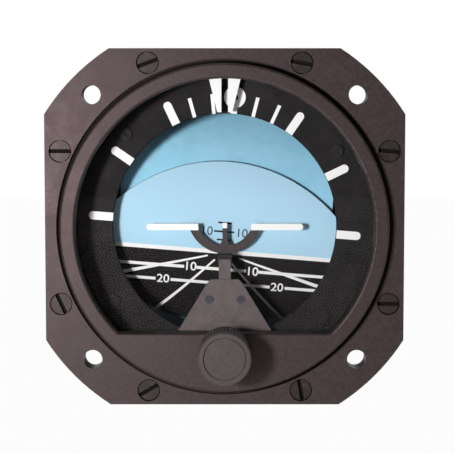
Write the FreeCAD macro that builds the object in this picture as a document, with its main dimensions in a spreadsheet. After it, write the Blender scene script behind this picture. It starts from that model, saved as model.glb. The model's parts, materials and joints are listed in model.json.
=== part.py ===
import FreeCAD, Part
import math
import os
from types import SimpleNamespace

import Sketcher

# Attitude indicator for a 3-1/8 inch panel cut-out, air driven.
# Millimetres. X right, Z up, +Y towards the rear of the case, dial towards -Y.
# The origin is the centre of the flange face that lies against the panel.
# The gimbal rests rolled and pitched, as in flight, so those angles are sizes too.

SIZES = {
    # flange and panel fit
    "flange_width": 85.1,
    "flange_height": 84.6,
    "flange_corner_radius": 50.3,
    "flange_thickness": 3.2,
    "spigot_radius": 38.8,
    "spigot_height": 3.0,
    "spigot_edge_round": 0.55,
    "flange_groove_width": 1.1,
    "flange_groove_depth": 1.2,
    "mount_spacing": 62.87,
    "mount_hole_radius": 2.25,
    "bezel_screw_near": 18.15,
    "bezel_screw_far": 38.9,
    "bezel_screw_head_radius": 2.45,
    "bezel_screw_counterbore_radius": 2.68,
    "bezel_screw_counterbore_depth": 1.7,
    "bezel_screw_head_height": 1.3,
    "bezel_screw_shank_radius": 1.48,
    "bezel_screw_hole_radius": 1.65,
    "bezel_screw_thread_radius": 1.5,
    "bezel_screw_slot_width": 0.95,
    "bezel_screw_slot_depth": 0.9,
    # window
    "window_radius": 35.25,
    "window_flat": 24.8,
    "window_corner_radius": 0.9,
    "window_edge_round": 0.6,
    "rabbet_radius": 36.5,
    "rabbet_flat": 25.8,
    "rabbet_start": 0.8,
    "glass_radius": 36.3,
    "glass_flat": 25.6,
    "glass_thickness": 2.0,
    "glass_gasket_thickness": 0.4,
    "glass_gasket_inner_radius": 35.5,
    "glass_gasket_inner_flat": 25.0,
    "bezel_gasket_thickness": 0.5,
    "bezel_gasket_inner_radius": 35.6,
    # case
    "case_flange_thickness": 2.4,
    "case_outer_radius": 39.4,
    "case_wall": 1.5,
    "case_rear": 131.0,
    "case_lip_start": 126.0,
    "case_lip_width": 3.4,
    "cover_gasket_thickness": 0.5,
    "cover_plate_thickness": 3.5,
    "cover_chamfer": 0.6,
    "cover_screw_inset": 2.5,
    "cover_screw_shank_radius": 1.23,
    "cover_screw_thread_radius": 1.25,
    "cover_screw_hole_radius": 1.45,
    "cover_screw_head_radius": 2.3,
    "cover_screw_head_height": 1.6,
    "cover_screw_slot_width": 0.6,
    "cover_screw_slot_depth": 0.8,
    "cover_screw_length": 8.5,
    "cover_screw_hole_depth": 5.0,
    "hub_outer_radius": 13.0,
    "hub_length": 13.5,
    "hub_mouth_radius": 7.6,
    "port_centre": 24.0,
    "port_boss_radius": 8.5,
    "port_boss_length": 13.0,
    "port_thread_radius": 5.56,
    "port_thread_depth": 12.5,
    "port_passage_radius": 3.5,
    # filter
    "filter_thickness": 1.4,
    "filter_radius": 9.3,
    "filter_cap_thickness": 3.0,
    "filter_cap_hole_radius": 1.3,
    "filter_cap_hole_circle": 5.6,
    "filter_screw_circle": 11.2,
    "filter_screw_radius": 0.8,
    "filter_screw_clearance": 0.02,
    "filter_screw_depth": 2.5,
    "filter_screw_head_radius": 1.6,
    "filter_screw_head_height": 1.0,
    "filter_screw_slot_width": 0.4,
    "filter_screw_slot_depth": 0.5,
    # mask ring, index and pedestal
    "mask_inner_radius": 35.6,
    "mask_clearance": 0.02,
    "mask_rear": 5.0,
    "sheet_thickness": 0.6,
    "index_bottom": 27.3,
    "index_top": 37.0,
    "index_half_bottom": 1.8,
    "index_half_top": 4.2,
    "index_half_gap": 0.8,
    "index_gap_top": 35.8,
    "index_rivet_x": 2.3,
    "index_rivet_z": 36.55,
    "mask_rivet_radius": 0.35,
    "mask_rivet_head_radius": 0.55,
    "mask_rivet_head_height": 0.25,
    "pedestal_top": 12.8,
    "pedestal_half_top": 4.15,
    "pedestal_corner": 0.8,
    "pedestal_half_bottom": 11.0,
    "pedestal_foot_half_width": 14.0,
    "pedestal_foot_top": 28.0,
    "pedestal_foot_radius": 37.2,
    "pedestal_rivet_x": 3.8,
    "pedestal_rivet_z": 17.6,
    "pedestal_rivet_radius": 0.6,
    "pedestal_rivet_head_radius": 1.0,
    "pedestal_rivet_head_height": 0.35,
    "foot_rivet_x": 10.0,
    "foot_rivet_z": 35.1,
    # knob
    "knob_axis_depth": 29.0,
    "knob_front": 14.5,
    "knob_back": 4.2,
    "knob_radius": 6.15,
    "knob_rim_inner_radius": 5.0,
    "knob_rim_chamfer": 0.3,
    "knob_groove_width": 0.28,
    "knob_groove_depth": 0.35,
    "knob_face_recess": 0.15,
    "knob_smooth_rim": 1.3,
    "knob_knurl_end": 0.6,
    "knob_knurl_depth": 0.22,
    "knob_knurl_half_width": 0.24,
    "knob_bore_depth": 8.5,
    "shaft_radius": 1.5,
    "press_clearance": 0.01,
    "running_clearance": 0.03,
    "shaft_front": 12.6,
    "shaft_rear": 7.0,
    "shaft_groove_radius": 1.15,
    "clip_start": 4.5,
    "clip_thickness": 0.4,
    "clip_radius": 2.6,
    "clip_mouth_half_width": 0.9,
    "clip_side_gap": 0.03,
    "bushing_radius": 2.58,
    "bushing_hole_radius": 2.6,
    "bushing_flange_radius": 3.3,
    "bushing_flange_thickness": 0.6,
    "bushing_rear": 4.3,
    "set_screw_position": 8.6,
    "set_screw_radius": 1.0,
    "set_screw_outer": 5.7,
    "set_screw_slot_width": 0.4,
    "set_screw_slot_depth": 0.6,
    # symbol slide and its rack
    "rack_module": 0.5,
    "slide_start": 5.9,
    "slide_thickness": 1.0,
    "stem_half_width": 1.45,
    "stem_top": 8.05,
    "slide_link_top": 21.8,
    "slide_link_bottom": 23.2,
    "rack_leg_outer": 6.0,
    "rack_leg_bottom": 33.9,
    "rack_backlash": 0.2,
    "guide_half_width": 5.4,
    "guide_top": 16.2,
    "guide_bottom": 19.0,
    "guide_thickness": 1.6,
    "guide_clearance": 0.05,
    # aircraft symbol
    "symbol_thickness": 0.8,
    "symbol_setback": 2.7,
    "symbol_spacer_half_width": 1.7,
    "symbol_spacer_top": 6.95,
    "symbol_spacer_bottom": 9.3,
    "symbol_arc_radius": 9.0,
    "symbol_arc_width": 1.9,
    "symbol_arc_centre": 2.1,
    "symbol_arc_end": 0.35,
    "symbol_post_half_width": 0.55,
    "symbol_post_top": 0.55,
    "symbol_post_flare": 1.2,
    "symbol_post_flare_top": 4.6,
    "symbol_collar_half_width": 1.8,
    "symbol_collar_bottom": 8.2,
    "symbol_collar_top": 6.3,
    "wing_inner": 6.4,
    "wing_outer": 19.0,
    "wing_half_height": 0.8,
    "wing_level": 0.4,
    "wing_thickness": 0.6,
    "symbol_rivet_radius": 0.35,
    "symbol_rivet_x": 7.65,
    "collar_rivet_z": 8.65,
    # attitude at rest
    "rest_roll": 4.5,
    "rest_pitch": 21.2,
    "horizon_ratio": 0.4,
    # gimbal
    "bank_ring_front": 8.0,
    "bank_ring_thickness": 1.5,
    "bank_ring_inner_radius": 27.0,
    "bank_ring_outer_radius": 37.0,
    "bank_ring_chamfer": 0.3,
    "bank_screw_circle": 32.4,
    "bank_screw_angle": 38.3,
    "bank_screw_shank_radius": 0.93,
    "bank_screw_hole_radius": 0.95,
    "bank_screw_head_radius": 1.5,
    "bank_screw_head_height": 0.75,
    "bank_screw_slot_width": 0.38,
    "bank_screw_slot_depth": 0.4,
    "gimbal_face_thickness": 2.0,
    "gimbal_face_inner_radius": 28.5,
    "gimbal_face_outer_radius": 36.8,
    "gimbal_arm_inner": 29.2,
    "gimbal_arm_outer": 33.2,
    "gimbal_arm_half_height": 14.0,
    "gimbal_window_half_height": 7.0,
    "gimbal_window_front": 16.0,
    "gimbal_window_rear": 42.0,
    "gimbal_rear_window_front": 100.0,
    "gimbal_rear_window_rear": 113.0,
    "gimbal_wall_start": 119.0,
    "gimbal_wall_thickness": 4.0,
    "trunnion_flange_radius": 12.0,
    "trunnion_flange_thickness": 2.5,
    "trunnion_shoulder_radius": 6.4,
    "trunnion_radius": 5.0,
    "trunnion_bore_radius": 3.0,
    "trunnion_end": 146.9,
    "trunnion_screw_circle": 9.2,
    "trunnion_screw_radius": 1.2,
    "trunnion_screw_head_radius": 2.0,
    "trunnion_screw_head_height": 1.2,
    "trunnion_screw_length": 3.5,
    "nut_half_flats": 6.5,
    "nut_thickness": 1.8,
    "bearing_width": 5.0,
    "bearing_outer_radius": 9.5,
    "bearing_split_radius": 7.25,
    "bearing_gap": 0.05,
    # horizon bar and sky plate
    "horizon_pivot": 52.3,
    "horizon_radius": 40.0,
    "horizon_thickness": 1.0,
    "horizon_half_width": 28.2,
    "horizon_half_angle": 33.0,
    "horizon_edge_radius": 39.0,
    "horizon_edge_apex": 20.5,
    "horizon_arm_inner": 26.6,
    "horizon_arm_half_height": 4.5,
    "horizon_hub_radius": 7.0,
    "horizon_tail_length": 19.0,
    "horizon_tail_half_height": 3.5,
    "pivot_pin_radius": 2.0,
    "pivot_pin_inner": 24.6,
    "pivot_pin_head_radius": 3.2,
    "pivot_pin_head_height": 1.0,
    "sky_radius": 38.2,
    "sky_thickness": 1.0,
    "sky_half_width": 26.0,
    "sky_half_angle": 54.0,
    "sky_trim_radius": 36.6,
    "post_x": 12.0,
    "post_z": 11.0,
    "post_radius": 2.0,
    "post_front": 16.2,
    "bar_start": 46.4,
    "bar_size": 3.2,
    "bar_screw_radius": 1.2,
    "bar_screw_head_radius": 1.9,
    "bar_screw_head_height": 1.1,
    "bar_screw_length": 8.0,
    "counterweight_radius": 6.0,
    "counterweight_thickness": 2.0,
    "counterweight_distance": 17.0,
    "horizon_rivet_radius": 0.75,
    "horizon_rivet_circle": 4.9,
    # reversing gear between the gyro housing and the horizon bar
    "gear_module": 1.0,
    "pinion_teeth": 20,
    "gear_thickness": 1.6,
    "gear_backlash": 0.3,
    "gear_root_gap": 1.2,
    "sector_half_angle": 32.4,
    # gyro housing
    "housing_radius": 24.0,
    "housing_wall": 3.2,
    "housing_half_height": 15.0,
    "housing_end_thickness": 2.0,
    "housing_split": 4.0,
    "housing_boss_radius": 7.0,
    "housing_boss_height": 2.0,
    "housing_edge_chamfer": 0.25,
    "rotor_bearing_radius": 4.0,
    "rotor_bearing_width": 3.0,
    "housing_end_hole_radius": 2.5,
    "housing_screw_inset": 1.6,
    "housing_screw_radius": 0.7,
    "housing_screw_head_radius": 1.3,
    "housing_screw_head_height": 0.9,
    "housing_screw_length": 14.0,
    "housing_screw_sink": 0.9,
    "pitch_pin_inner": 21.6,
    "pitch_pin_outer": 33.6,
    "pitch_pin_collar_radius": 3.4,
    "pitch_pin_collar_end": 25.0,
    "pitch_bearing_radius": 5.0,
    # rotor
    "rotor_gap": 1.0,
    "rotor_rim_inner_radius": 14.0,
    "rotor_half_height": 8.0,
    "rotor_web_half_height": 2.0,
    "rotor_hub_radius": 5.0,
    "rotor_hub_half_height": 5.0,
    "rotor_chamfer": 0.5,
    "bucket_half_height": 5.0,
    "bucket_depth": 1.4,
    "bucket_width": 3.0,
    "rotor_shaft_radius": 2.0,
    "rotor_shaft_shoulder": 10.7,
    "rotor_journal_radius": 1.5,
    "rotor_journal_end": 13.4,
    # erection unit
    "erector_half_width": 7.5,
    "erector_bottom": 30.0,
    "erector_floor": 1.5,
    "erector_bore_radius": 5.0,
    "erector_port_half_width": 2.2,
    "erector_port_top": 23.5,
    "erector_port_bottom": 27.5,
    "vane_shaft_radius": 0.8,
    "side_vane_pivot": 18.0,
    "front_vane_pivot": 20.6,
    "vane_gap": 0.4,
    "vane_thickness": 0.6,
    "vane_half_width": 3.5,
    "vane_rise": 1.6,
    "vane_bottom": 29.0,
}

SLOT_ANGLES = (0, -5, -10, 20, 0, -65, 30, -80)
COVER_SCREWS = 6
FILTER_HOLES = 6
FILTER_SCREWS = 3
TRUNNION_SCREWS = 4
HOUSING_SCREWS = 6
HOUSING_SCREW_START = 30
KNURLS = 48
NUT_SIDES = 6
KNOB_PINION_TEETH = 10
BUCKETS = 18
RACK_TEETH = 6
RACK_ADDENDUM = 0.9
RACK_DEDENDUM = 1.2
GEAR_FLANK = 20
SECTOR_CUTS = 10
CUT_MARGIN = 1
NEAR = 0.1
FULL_TURN = 360
HALF_TURN = 180
RIGHT_ANGLE = 90
REAR_SLOT_TURN = HALF_TURN / 7


class Size:
    """A dimension: its present value and the sheet expression behind it."""

    def __init__(self, value, text):
        self.value = float(value)
        self.text = text

    def join(self, sign, other, value):
        return Size(value, "(%s %s %s)" % (self.text, sign, other.text))

    def __add__(self, other):
        other = size(other)
        return self.join("+", other, self.value + other.value)

    def __radd__(self, other):
        return size(other) + self

    def __sub__(self, other):
        other = size(other)
        return self.join("-", other, self.value - other.value)

    def __rsub__(self, other):
        return size(other) - self

    def __mul__(self, other):
        other = size(other)
        return self.join("*", other, self.value * other.value)

    def __rmul__(self, other):
        return size(other) * self

    def __truediv__(self, other):
        other = size(other)
        return self.join("/", other, self.value / other.value)

    def __rtruediv__(self, other):
        return size(other) / self

    def __neg__(self):
        return 0 - self


def size(number):
    return number if isinstance(number, Size) else Size(number, repr(number))


def root(number):
    return Size(math.sqrt(number.value), "sqrt(%s)" % number.text)


def sine(degrees):
    degrees = size(degrees)
    return Size(math.sin(math.radians(degrees.value)), "sin(%s)" % degrees.text)


def cosine(degrees):
    degrees = size(degrees)
    return Size(math.cos(math.radians(degrees.value)), "cos(%s)" % degrees.text)


def side(hypotenuse, other):
    """The second short side of a right-angled triangle."""
    return root(hypotenuse * hypotenuse - other * other)


def arc(centre_u, centre_v, radius, ccw=True):
    """An edge that bends about a centre, from one corner of a loop to the next."""
    return SimpleNamespace(u=size(centre_u), v=size(centre_v), radius=size(radius), ccw=ccw)


doc = FreeCAD.newDocument("attitude_indicator")
sheet = doc.addObject("Spreadsheet::Sheet", "Sizes")
for row, (name, number) in enumerate(SIZES.items(), start=1):
    sheet.set("A%d" % row, name)
    sheet.set("B%d" % row, repr(number))
    sheet.setAlias("B%d" % row, name)
doc.recompute()
s = SimpleNamespace(**{name: Size(number, "Sizes.%s" % name) for name, number in SIZES.items()})

pieces = []
cuts = []


class Piece:
    """One sub-part: a body whose sketches and features read the sheet."""

    def __init__(self, label, placement=None):
        self.body = doc.addObject("PartDesign::Body", label)
        self.body.Label = label
        self.body.AllowCompound = True
        if placement:
            self.body.setExpression("Placement", placement)
        pieces.append(self.body)

    def sketch(self, role, offset=0):
        return Outline(self.body, role, size(offset))

    def feature(self, kind, outline):
        made = self.body.newObject(kind, kind.split("::")[1])
        made.Profile = outline.item
        return made

    def pad(self, outline, length):
        """Adds material from the sketch towards the plane's positive axis."""
        made = self.feature("PartDesign::Pad", outline)
        made.Reversed = outline.role == "XZ_Plane"
        made.setExpression("Length", size(length).text)
        return made

    def pocket(self, outline, length):
        """Removes material from the sketch towards the plane's positive axis."""
        made = self.feature("PartDesign::Pocket", outline)
        made.Reversed = outline.role != "XZ_Plane"
        made.setExpression("Length", size(length).text)
        cuts.append(made)
        return made

    def revolve(self, outline, axis="V_Axis"):
        made = self.feature("PartDesign::Revolution", outline)
        made.ReferenceAxis = (outline.item, [axis])
        made.Angle = FULL_TURN
        return made

    def groove(self, outline, axis="V_Axis"):
        made = self.feature("PartDesign::Groove", outline)
        made.ReferenceAxis = (outline.item, [axis])
        made.Angle = FULL_TURN
        cuts.append(made)
        return made

    def polar(self, original, outline, count, angle=FULL_TURN):
        made = self.body.newObject("PartDesign::PolarPattern", "PolarPattern")
        made.Originals = [original]
        made.Axis = (outline.item, ["N_Axis"])
        made.Angle = angle
        made.Occurrences = count
        self.body.Tip = made
        cuts.append(made)
        return made

    def edges(self, kind, amount, chosen):
        """Rounds or bevels the edges of the present shape that a test picks."""
        doc.recompute()
        tip = self.body.Tip
        names = ["Edge%d" % (i + 1) for i, edge in enumerate(tip.Shape.Edges) if chosen(edge)]
        made = self.body.newObject("PartDesign::%s" % kind, kind)
        made.Base = (tip, names)
        made.setExpression("Radius" if kind == "Fillet" else "Size", size(amount).text)
        return made


class Outline:
    """A sketch on one of its own body's origin planes."""

    def __init__(self, body, role, offset):
        plane = [item for item in body.Origin.OriginFeatures if item.Role == role][0]
        self.role = role
        self.item = body.newObject("Sketcher::SketchObject", "Sketch")
        self.item.AttachmentSupport = [(plane, "")]
        self.item.MapMode = "FlatFace"
        along = -offset if role == "XZ_Plane" else offset
        self.item.setExpression("AttachmentOffset.Base.z", along.text)

    def bind(self, kind, geometry, point, value):
        value = size(value)
        made = Sketcher.Constraint(kind, -1, 1, geometry, point, value.value)
        index = self.item.addConstraint(made)
        self.item.setExpression("Constraints[%d]" % index, value.text)

    def radius(self, geometry, value):
        index = self.item.addConstraint(Sketcher.Constraint("Radius", geometry, value.value))
        self.item.setExpression("Constraints[%d]" % index, value.text)

    def circle(self, u, v, radius):
        u, v, radius = size(u), size(v), size(radius)
        centre = FreeCAD.Vector(u.value, v.value, 0)
        up = FreeCAD.Vector(0, 0, 1)
        index = self.item.addGeometry(Part.Circle(centre, up, radius.value), False)
        self.bind("DistanceX", index, 3, u)
        self.bind("DistanceY", index, 3, v)
        self.radius(index, radius)
        return self

    def loop(self, corners):
        """A closed outline; a corner may carry the arc that leads to the next one."""
        edges = []
        for i, corner in enumerate(corners):
            after = corners[(i + 1) % len(corners)]
            start = FreeCAD.Vector(size(corner[0]).value, size(corner[1]).value, 0)
            end = FreeCAD.Vector(size(after[0]).value, size(after[1]).value, 0)
            if len(corner) == 2:
                index = self.item.addGeometry(Part.LineSegment(start, end), False)
                edges.append((index, 1, 2))
                continue
            bend = corner[2]
            centre = FreeCAD.Vector(bend.u.value, bend.v.value, 0)
            circle = Part.Circle(centre, FreeCAD.Vector(0, 0, 1), bend.radius.value)
            first, last = (start, end) if bend.ccw else (end, start)
            angles = [math.atan2(p.y - centre.y, p.x - centre.x) for p in (first, last)]
            index = self.item.addGeometry(Part.ArcOfCircle(circle, *angles), False)
            edges.append((index, 1, 2) if bend.ccw else (index, 2, 1))
            upright = abs(end.y - start.y) > abs(end.x - start.x)
            self.bind("DistanceX" if upright else "DistanceY", index, 3, bend.u if upright else bend.v)
        for i, (index, start, end) in enumerate(edges):
            after = edges[(i + 1) % len(edges)]
            self.item.addConstraint(Sketcher.Constraint("Coincident", index, end, after[0], after[1]))
            self.bind("DistanceX", index, start, corners[i][0])
            self.bind("DistanceY", index, start, corners[i][1])
        return self

    def box(self, u_low, u_high, v_low, v_high):
        return self.loop([(u_low, v_low), (u_high, v_low), (u_high, v_high), (u_low, v_high)])

    def slot(self, u, v, half_length, half_width, angle):
        """A straight slot, turned by an angle about its own middle."""
        along_u, along_v = cosine(angle) * half_length, sine(angle) * half_length
        across_u, across_v = -sine(angle) * half_width, cosine(angle) * half_width
        corners = []
        for i, j in ((-1, -1), (1, -1), (1, 1), (-1, 1)):
            corners.append((u + along_u * i + across_u * j, v + along_v * i + across_v * j))
        return self.loop(corners)


def around(count, radius, start=0):
    """Places evenly round a circle, as (u, v, angle)."""
    step = FULL_TURN / count
    angles = [start + step * i for i in range(count)]
    return [(cosine(a) * radius, sine(a) * radius, a) for a in angles]


def moved(x, y, z):
    return "placement(vector(%s; %s; %s); rotation(vector(0; 0; 1); 0))" % tuple(
        size(value).text for value in (x, y, z))


def turned(axis, angle):
    return "placement(vector(0; 0; 0); rotation(vector(%s); %s))" % (axis, size(angle).text)


def along_y(edge, u, v):
    """True for a straight edge parallel to Y at one place in the XZ plane."""
    ends = [vertex.Point for vertex in edge.Vertexes]
    if len(ends) != 2:
        return False
    return all(abs(p.x - u) < NEAR and abs(p.z - v) < NEAR for p in ends)


def screws(piece, role, places, heads, shank, slot_width, slot_depth):
    """Slotted screws along one axis; heads and shank are (start, end, radius)."""
    first = piece.sketch(role, heads[0])
    second = piece.sketch(role, min(heads[1], shank[0], key=lambda item: size(item).value))
    cut_start = heads[0]
    for u, v, angle in places:
        first.circle(u, v, heads[2])
        second.circle(u, v, shank[2])
    piece.pad(first, heads[1] - heads[0])
    piece.pad(second, shank[1] - shank[0])
    third = piece.sketch(role, cut_start)
    for u, v, angle in places:
        third.slot(size(u), size(v), heads[2] + slot_width, slot_width / 2, angle)
    piece.pocket(third, slot_depth)


def d_shape(outline, radius, flat):
    """A circle cut off flat at the bottom."""
    half = side(radius, flat)
    return outline.loop([(half, -flat, arc(0, 0, radius)), (-half, -flat)])


def flange_shape(outline):
    """A square whose corners follow one large circle."""
    half_width, half_height = s.flange_width / 2, s.flange_height / 2
    up = side(s.flange_corner_radius, half_width)
    across = side(s.flange_corner_radius, half_height)
    bend = arc(0, 0, s.flange_corner_radius)
    return outline.loop([
        (half_width, -up), (half_width, up, bend),
        (across, half_height), (-across, half_height, bend),
        (-half_width, up), (-half_width, -up, bend),
        (-across, -half_height), (across, -half_height, bend)])


mount_places = [(s.mount_spacing / 2 * i, s.mount_spacing / 2 * j) for i in (-1, 1) for j in (-1, 1)]
near, far = s.bezel_screw_near, s.bezel_screw_far
bezel_screw_places = [
    (far, -near), (far, near), (near, far), (-near, far),
    (-far, near), (-far, -near), (-near, -far), (near, -far)]
case_inner = s.case_outer_radius - s.case_wall
case_lip = case_inner - s.case_lip_width
cover_screw_circle = s.case_outer_radius - s.cover_screw_inset
mask_outer = case_inner - s.mask_clearance
case_front = s.flange_thickness + s.bezel_gasket_thickness
case_flange_rear = case_front + s.case_flange_thickness
glass_front = s.rabbet_start + s.glass_gasket_thickness
cover_front = s.case_rear + s.cover_gasket_thickness
cover_rear = cover_front + s.cover_plate_thickness
bearing_start = cover_rear
hub_rear = cover_rear + s.hub_length
cap_rear = hub_rear + s.filter_cap_thickness
sheet_rear = s.mask_rear + s.sheet_thickness
slide_rear = s.slide_start + s.slide_thickness
gimbal_face = s.bank_ring_front + s.bank_ring_thickness
gimbal_rear = s.gimbal_wall_start + s.gimbal_wall_thickness
centre_distance = s.gear_module * s.pinion_teeth * (1 + 1 / s.horizon_ratio) / 2
pitch_axis = s.horizon_pivot + centre_distance

rolled = turned("0; 1; 0", s.rest_roll)
at_horizon_pivot = "%s * %s" % (rolled, moved(0, s.horizon_pivot, 0))
horizon_frame = "%s * %s" % (at_horizon_pivot, turned("1; 0; 0", s.rest_pitch * s.horizon_ratio))
at_pitch_axis = "%s * %s" % (rolled, moved(0, pitch_axis, 0))
housing_frame = "%s * %s" % (at_pitch_axis, turned("1; 0; 0", -s.rest_pitch))
knob_frame = moved(0, 0, -s.knob_axis_depth)

# ---------------------------------------------------------------- bezel and window


def at_spigot_face(edge, inner):
    """True for an edge on the front face of the spigot, round the window or else outside it."""
    box = edge.BoundBox
    start = edge.Vertexes[0].Point
    rim_middle = (s.window_radius.value + s.spigot_radius.value) / 2
    at_face = box.YLength < NEAR and abs(box.YMin + s.spigot_height.value) < NEAR
    return at_face and (math.hypot(start.x, start.z) < rim_middle) == inner


bezel = Piece("bezel")
bezel.pad(flange_shape(bezel.sketch("XZ_Plane")), s.flange_thickness)
bezel.revolve(bezel.sketch("XY_Plane").loop([
    (0, -s.spigot_height), (s.spigot_radius, -s.spigot_height), (s.spigot_radius, 0), (0, 0)]))
bezel.pocket(d_shape(bezel.sketch("XZ_Plane", -s.spigot_height), s.window_radius, s.window_flat),
             s.spigot_height + s.flange_thickness)
window_half = side(s.window_radius, s.window_flat)
bezel.edges("Fillet", s.window_corner_radius,
            lambda edge: along_y(edge, window_half.value, -s.window_flat.value)
            or along_y(edge, -window_half.value, -s.window_flat.value))
bezel.edges("Fillet", s.window_edge_round, lambda edge: at_spigot_face(edge, inner=True))
bezel.edges("Fillet", s.spigot_edge_round, lambda edge: at_spigot_face(edge, inner=False))
groove = bezel.sketch("XZ_Plane").circle(0, 0, s.spigot_radius + s.flange_groove_width)
bezel.pocket(groove.circle(0, 0, s.spigot_radius), s.flange_groove_depth)
bezel.pocket(d_shape(bezel.sketch("XZ_Plane", s.rabbet_start), s.rabbet_radius, s.rabbet_flat),
             s.flange_thickness - s.rabbet_start)
mount_holes = bezel.sketch("XZ_Plane")
for u, v in mount_places:
    mount_holes.circle(u, v, s.mount_hole_radius)
bezel.pocket(mount_holes, s.flange_thickness)
counterbores = bezel.sketch("XZ_Plane")
screw_holes = bezel.sketch("XZ_Plane", s.bezel_screw_counterbore_depth)
for u, v in bezel_screw_places:
    counterbores.circle(u, v, s.bezel_screw_counterbore_radius)
    screw_holes.circle(u, v, s.bezel_screw_hole_radius)
bezel.pocket(counterbores, s.bezel_screw_counterbore_depth)
bezel.pocket(screw_holes, s.flange_thickness - s.bezel_screw_counterbore_depth)
bezel.pocket(bezel.sketch("XZ_Plane", -s.spigot_height).circle(
    0, -s.knob_axis_depth, s.bushing_hole_radius), s.spigot_height + s.flange_thickness)

head_seat = s.bezel_screw_counterbore_depth
screws(Piece("bezel_screws"), "XZ_Plane",
       [(u, v, angle) for (u, v), angle in zip(bezel_screw_places, SLOT_ANGLES)],
       (head_seat - s.bezel_screw_head_height, head_seat, s.bezel_screw_head_radius),
       (head_seat, case_flange_rear - s.press_clearance, s.bezel_screw_shank_radius),
       s.bezel_screw_slot_width, s.bezel_screw_slot_depth)

glass = Piece("window_glass")
glass.pad(d_shape(glass.sketch("XZ_Plane", glass_front), s.glass_radius, s.glass_flat),
          s.glass_thickness)

glass_gasket = Piece("glass_gasket")
ring = d_shape(glass_gasket.sketch("XZ_Plane", s.rabbet_start), s.glass_radius, s.glass_flat)
d_shape(ring, s.glass_gasket_inner_radius, s.glass_gasket_inner_flat)
glass_gasket.pad(ring, s.glass_gasket_thickness)

gasket = Piece("bezel_gasket")
gasket.pad(flange_shape(gasket.sketch("XZ_Plane", s.flange_thickness)), s.bezel_gasket_thickness)
gasket_holes = d_shape(gasket.sketch("XZ_Plane", s.flange_thickness),
                       s.bezel_gasket_inner_radius, s.glass_gasket_inner_flat)
for u, v in mount_places:
    gasket_holes.circle(u, v, s.mount_hole_radius)
for u, v in bezel_screw_places:
    gasket_holes.circle(u, v, s.bezel_screw_hole_radius)
gasket_holes.circle(0, -s.knob_axis_depth, s.bushing_hole_radius)
gasket.pocket(gasket_holes, s.bezel_gasket_thickness)

# ---------------------------------------------------------------- case and rear cover

case_flange = Piece("case_flange")
flange_face = flange_shape(case_flange.sketch("XZ_Plane", case_front))
flange_face.circle(0, 0, s.case_outer_radius)
for u, v in mount_places:
    flange_face.circle(u, v, s.mount_hole_radius)
for u, v in bezel_screw_places:
    flange_face.circle(u, v, s.bezel_screw_thread_radius)
case_flange.pad(flange_face, s.case_flange_thickness)

case = Piece("case_shell")
case.revolve(case.sketch("XY_Plane").loop([
    (case_lip, s.case_lip_start), (case_inner, s.case_lip_start - CUT_MARGIN),
    (case_inner, case_front), (s.case_outer_radius, case_front),
    (s.case_outer_radius, s.case_rear), (case_lip, s.case_rear)]))
cover_screw_places = around(COVER_SCREWS, cover_screw_circle)
tapped = case.sketch("XZ_Plane", s.case_rear - s.cover_screw_hole_depth)
for u, v, angle in cover_screw_places:
    tapped.circle(u, v, s.cover_screw_thread_radius)
case.pocket(tapped, s.cover_screw_hole_depth)

cover_gasket = Piece("rear_cover_gasket")
ring = cover_gasket.sketch("XZ_Plane", s.case_rear).circle(0, 0, s.case_outer_radius)
ring.circle(0, 0, case_lip)
for u, v, angle in cover_screw_places:
    ring.circle(u, v, s.cover_screw_hole_radius)
cover_gasket.pad(ring, s.cover_gasket_thickness)

cover = Piece("rear_cover")
cover.revolve(cover.sketch("XY_Plane").loop([
    (s.hub_mouth_radius, cover_front), (s.case_outer_radius, cover_front),
    (s.case_outer_radius, cover_rear - s.cover_chamfer), (s.case_outer_radius - s.cover_chamfer, cover_rear),
    (s.hub_mouth_radius, cover_rear)]))
cover.pad(cover.sketch("XZ_Plane", cover_rear).circle(-s.port_centre, 0, s.port_boss_radius),
          s.port_boss_length)
cover.pocket(cover.sketch("XZ_Plane", cover_rear + s.port_boss_length - s.port_thread_depth).circle(
    -s.port_centre, 0, s.port_thread_radius), s.port_thread_depth)
cover.pocket(cover.sketch("XZ_Plane", cover_front).circle(
    -s.port_centre, 0, s.port_passage_radius), s.cover_plate_thickness + s.port_boss_length)
cover_holes = cover.sketch("XZ_Plane", cover_front)
for u, v, angle in cover_screw_places:
    cover_holes.circle(u, v, s.cover_screw_hole_radius)
filter_screw_places = around(FILTER_SCREWS, s.filter_screw_circle, RIGHT_ANGLE)
for u, v, angle in filter_screw_places:
    cover_holes.circle(u, v, s.filter_screw_radius + s.filter_screw_clearance)
cover.pocket(cover_holes, s.cover_plate_thickness)

hub = Piece("bearing_hub")
hub_face = hub.sketch("XZ_Plane", cover_rear).circle(0, 0, s.hub_outer_radius)
hub_face.circle(0, 0, s.bearing_outer_radius)
for u, v, angle in filter_screw_places:
    hub_face.circle(u, v, s.filter_screw_radius + s.filter_screw_clearance)
hub.pad(hub_face, s.hub_length)


def rear_screws(label, places, seat, shank_depth, shank_radius, head_radius, head_height,
                slot_width, slot_depth):
    """Screws driven from the rear, with their slots facing +Y."""
    piece = Piece(label)
    shanks = piece.sketch("XZ_Plane", seat - shank_depth)
    heads = piece.sketch("XZ_Plane", seat)
    slots = piece.sketch("XZ_Plane", seat + head_height - slot_depth)
    for u, v, angle in places:
        shanks.circle(u, v, shank_radius)
        heads.circle(u, v, head_radius)
        slots.slot(u, v, head_radius + slot_width, slot_width / 2, angle + REAR_SLOT_TURN)
    piece.pad(shanks, shank_depth)
    piece.pad(heads, head_height)
    piece.pocket(slots, slot_depth)


rear_screws("rear_cover_screws", cover_screw_places, cover_rear, s.cover_screw_length,
            s.cover_screw_shank_radius, s.cover_screw_head_radius, s.cover_screw_head_height,
            s.cover_screw_slot_width, s.cover_screw_slot_depth)

element = Piece("filter_element")
element.pad(element.sketch("XZ_Plane", hub_rear - s.filter_thickness).circle(0, 0, s.filter_radius),
            s.filter_thickness)

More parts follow.
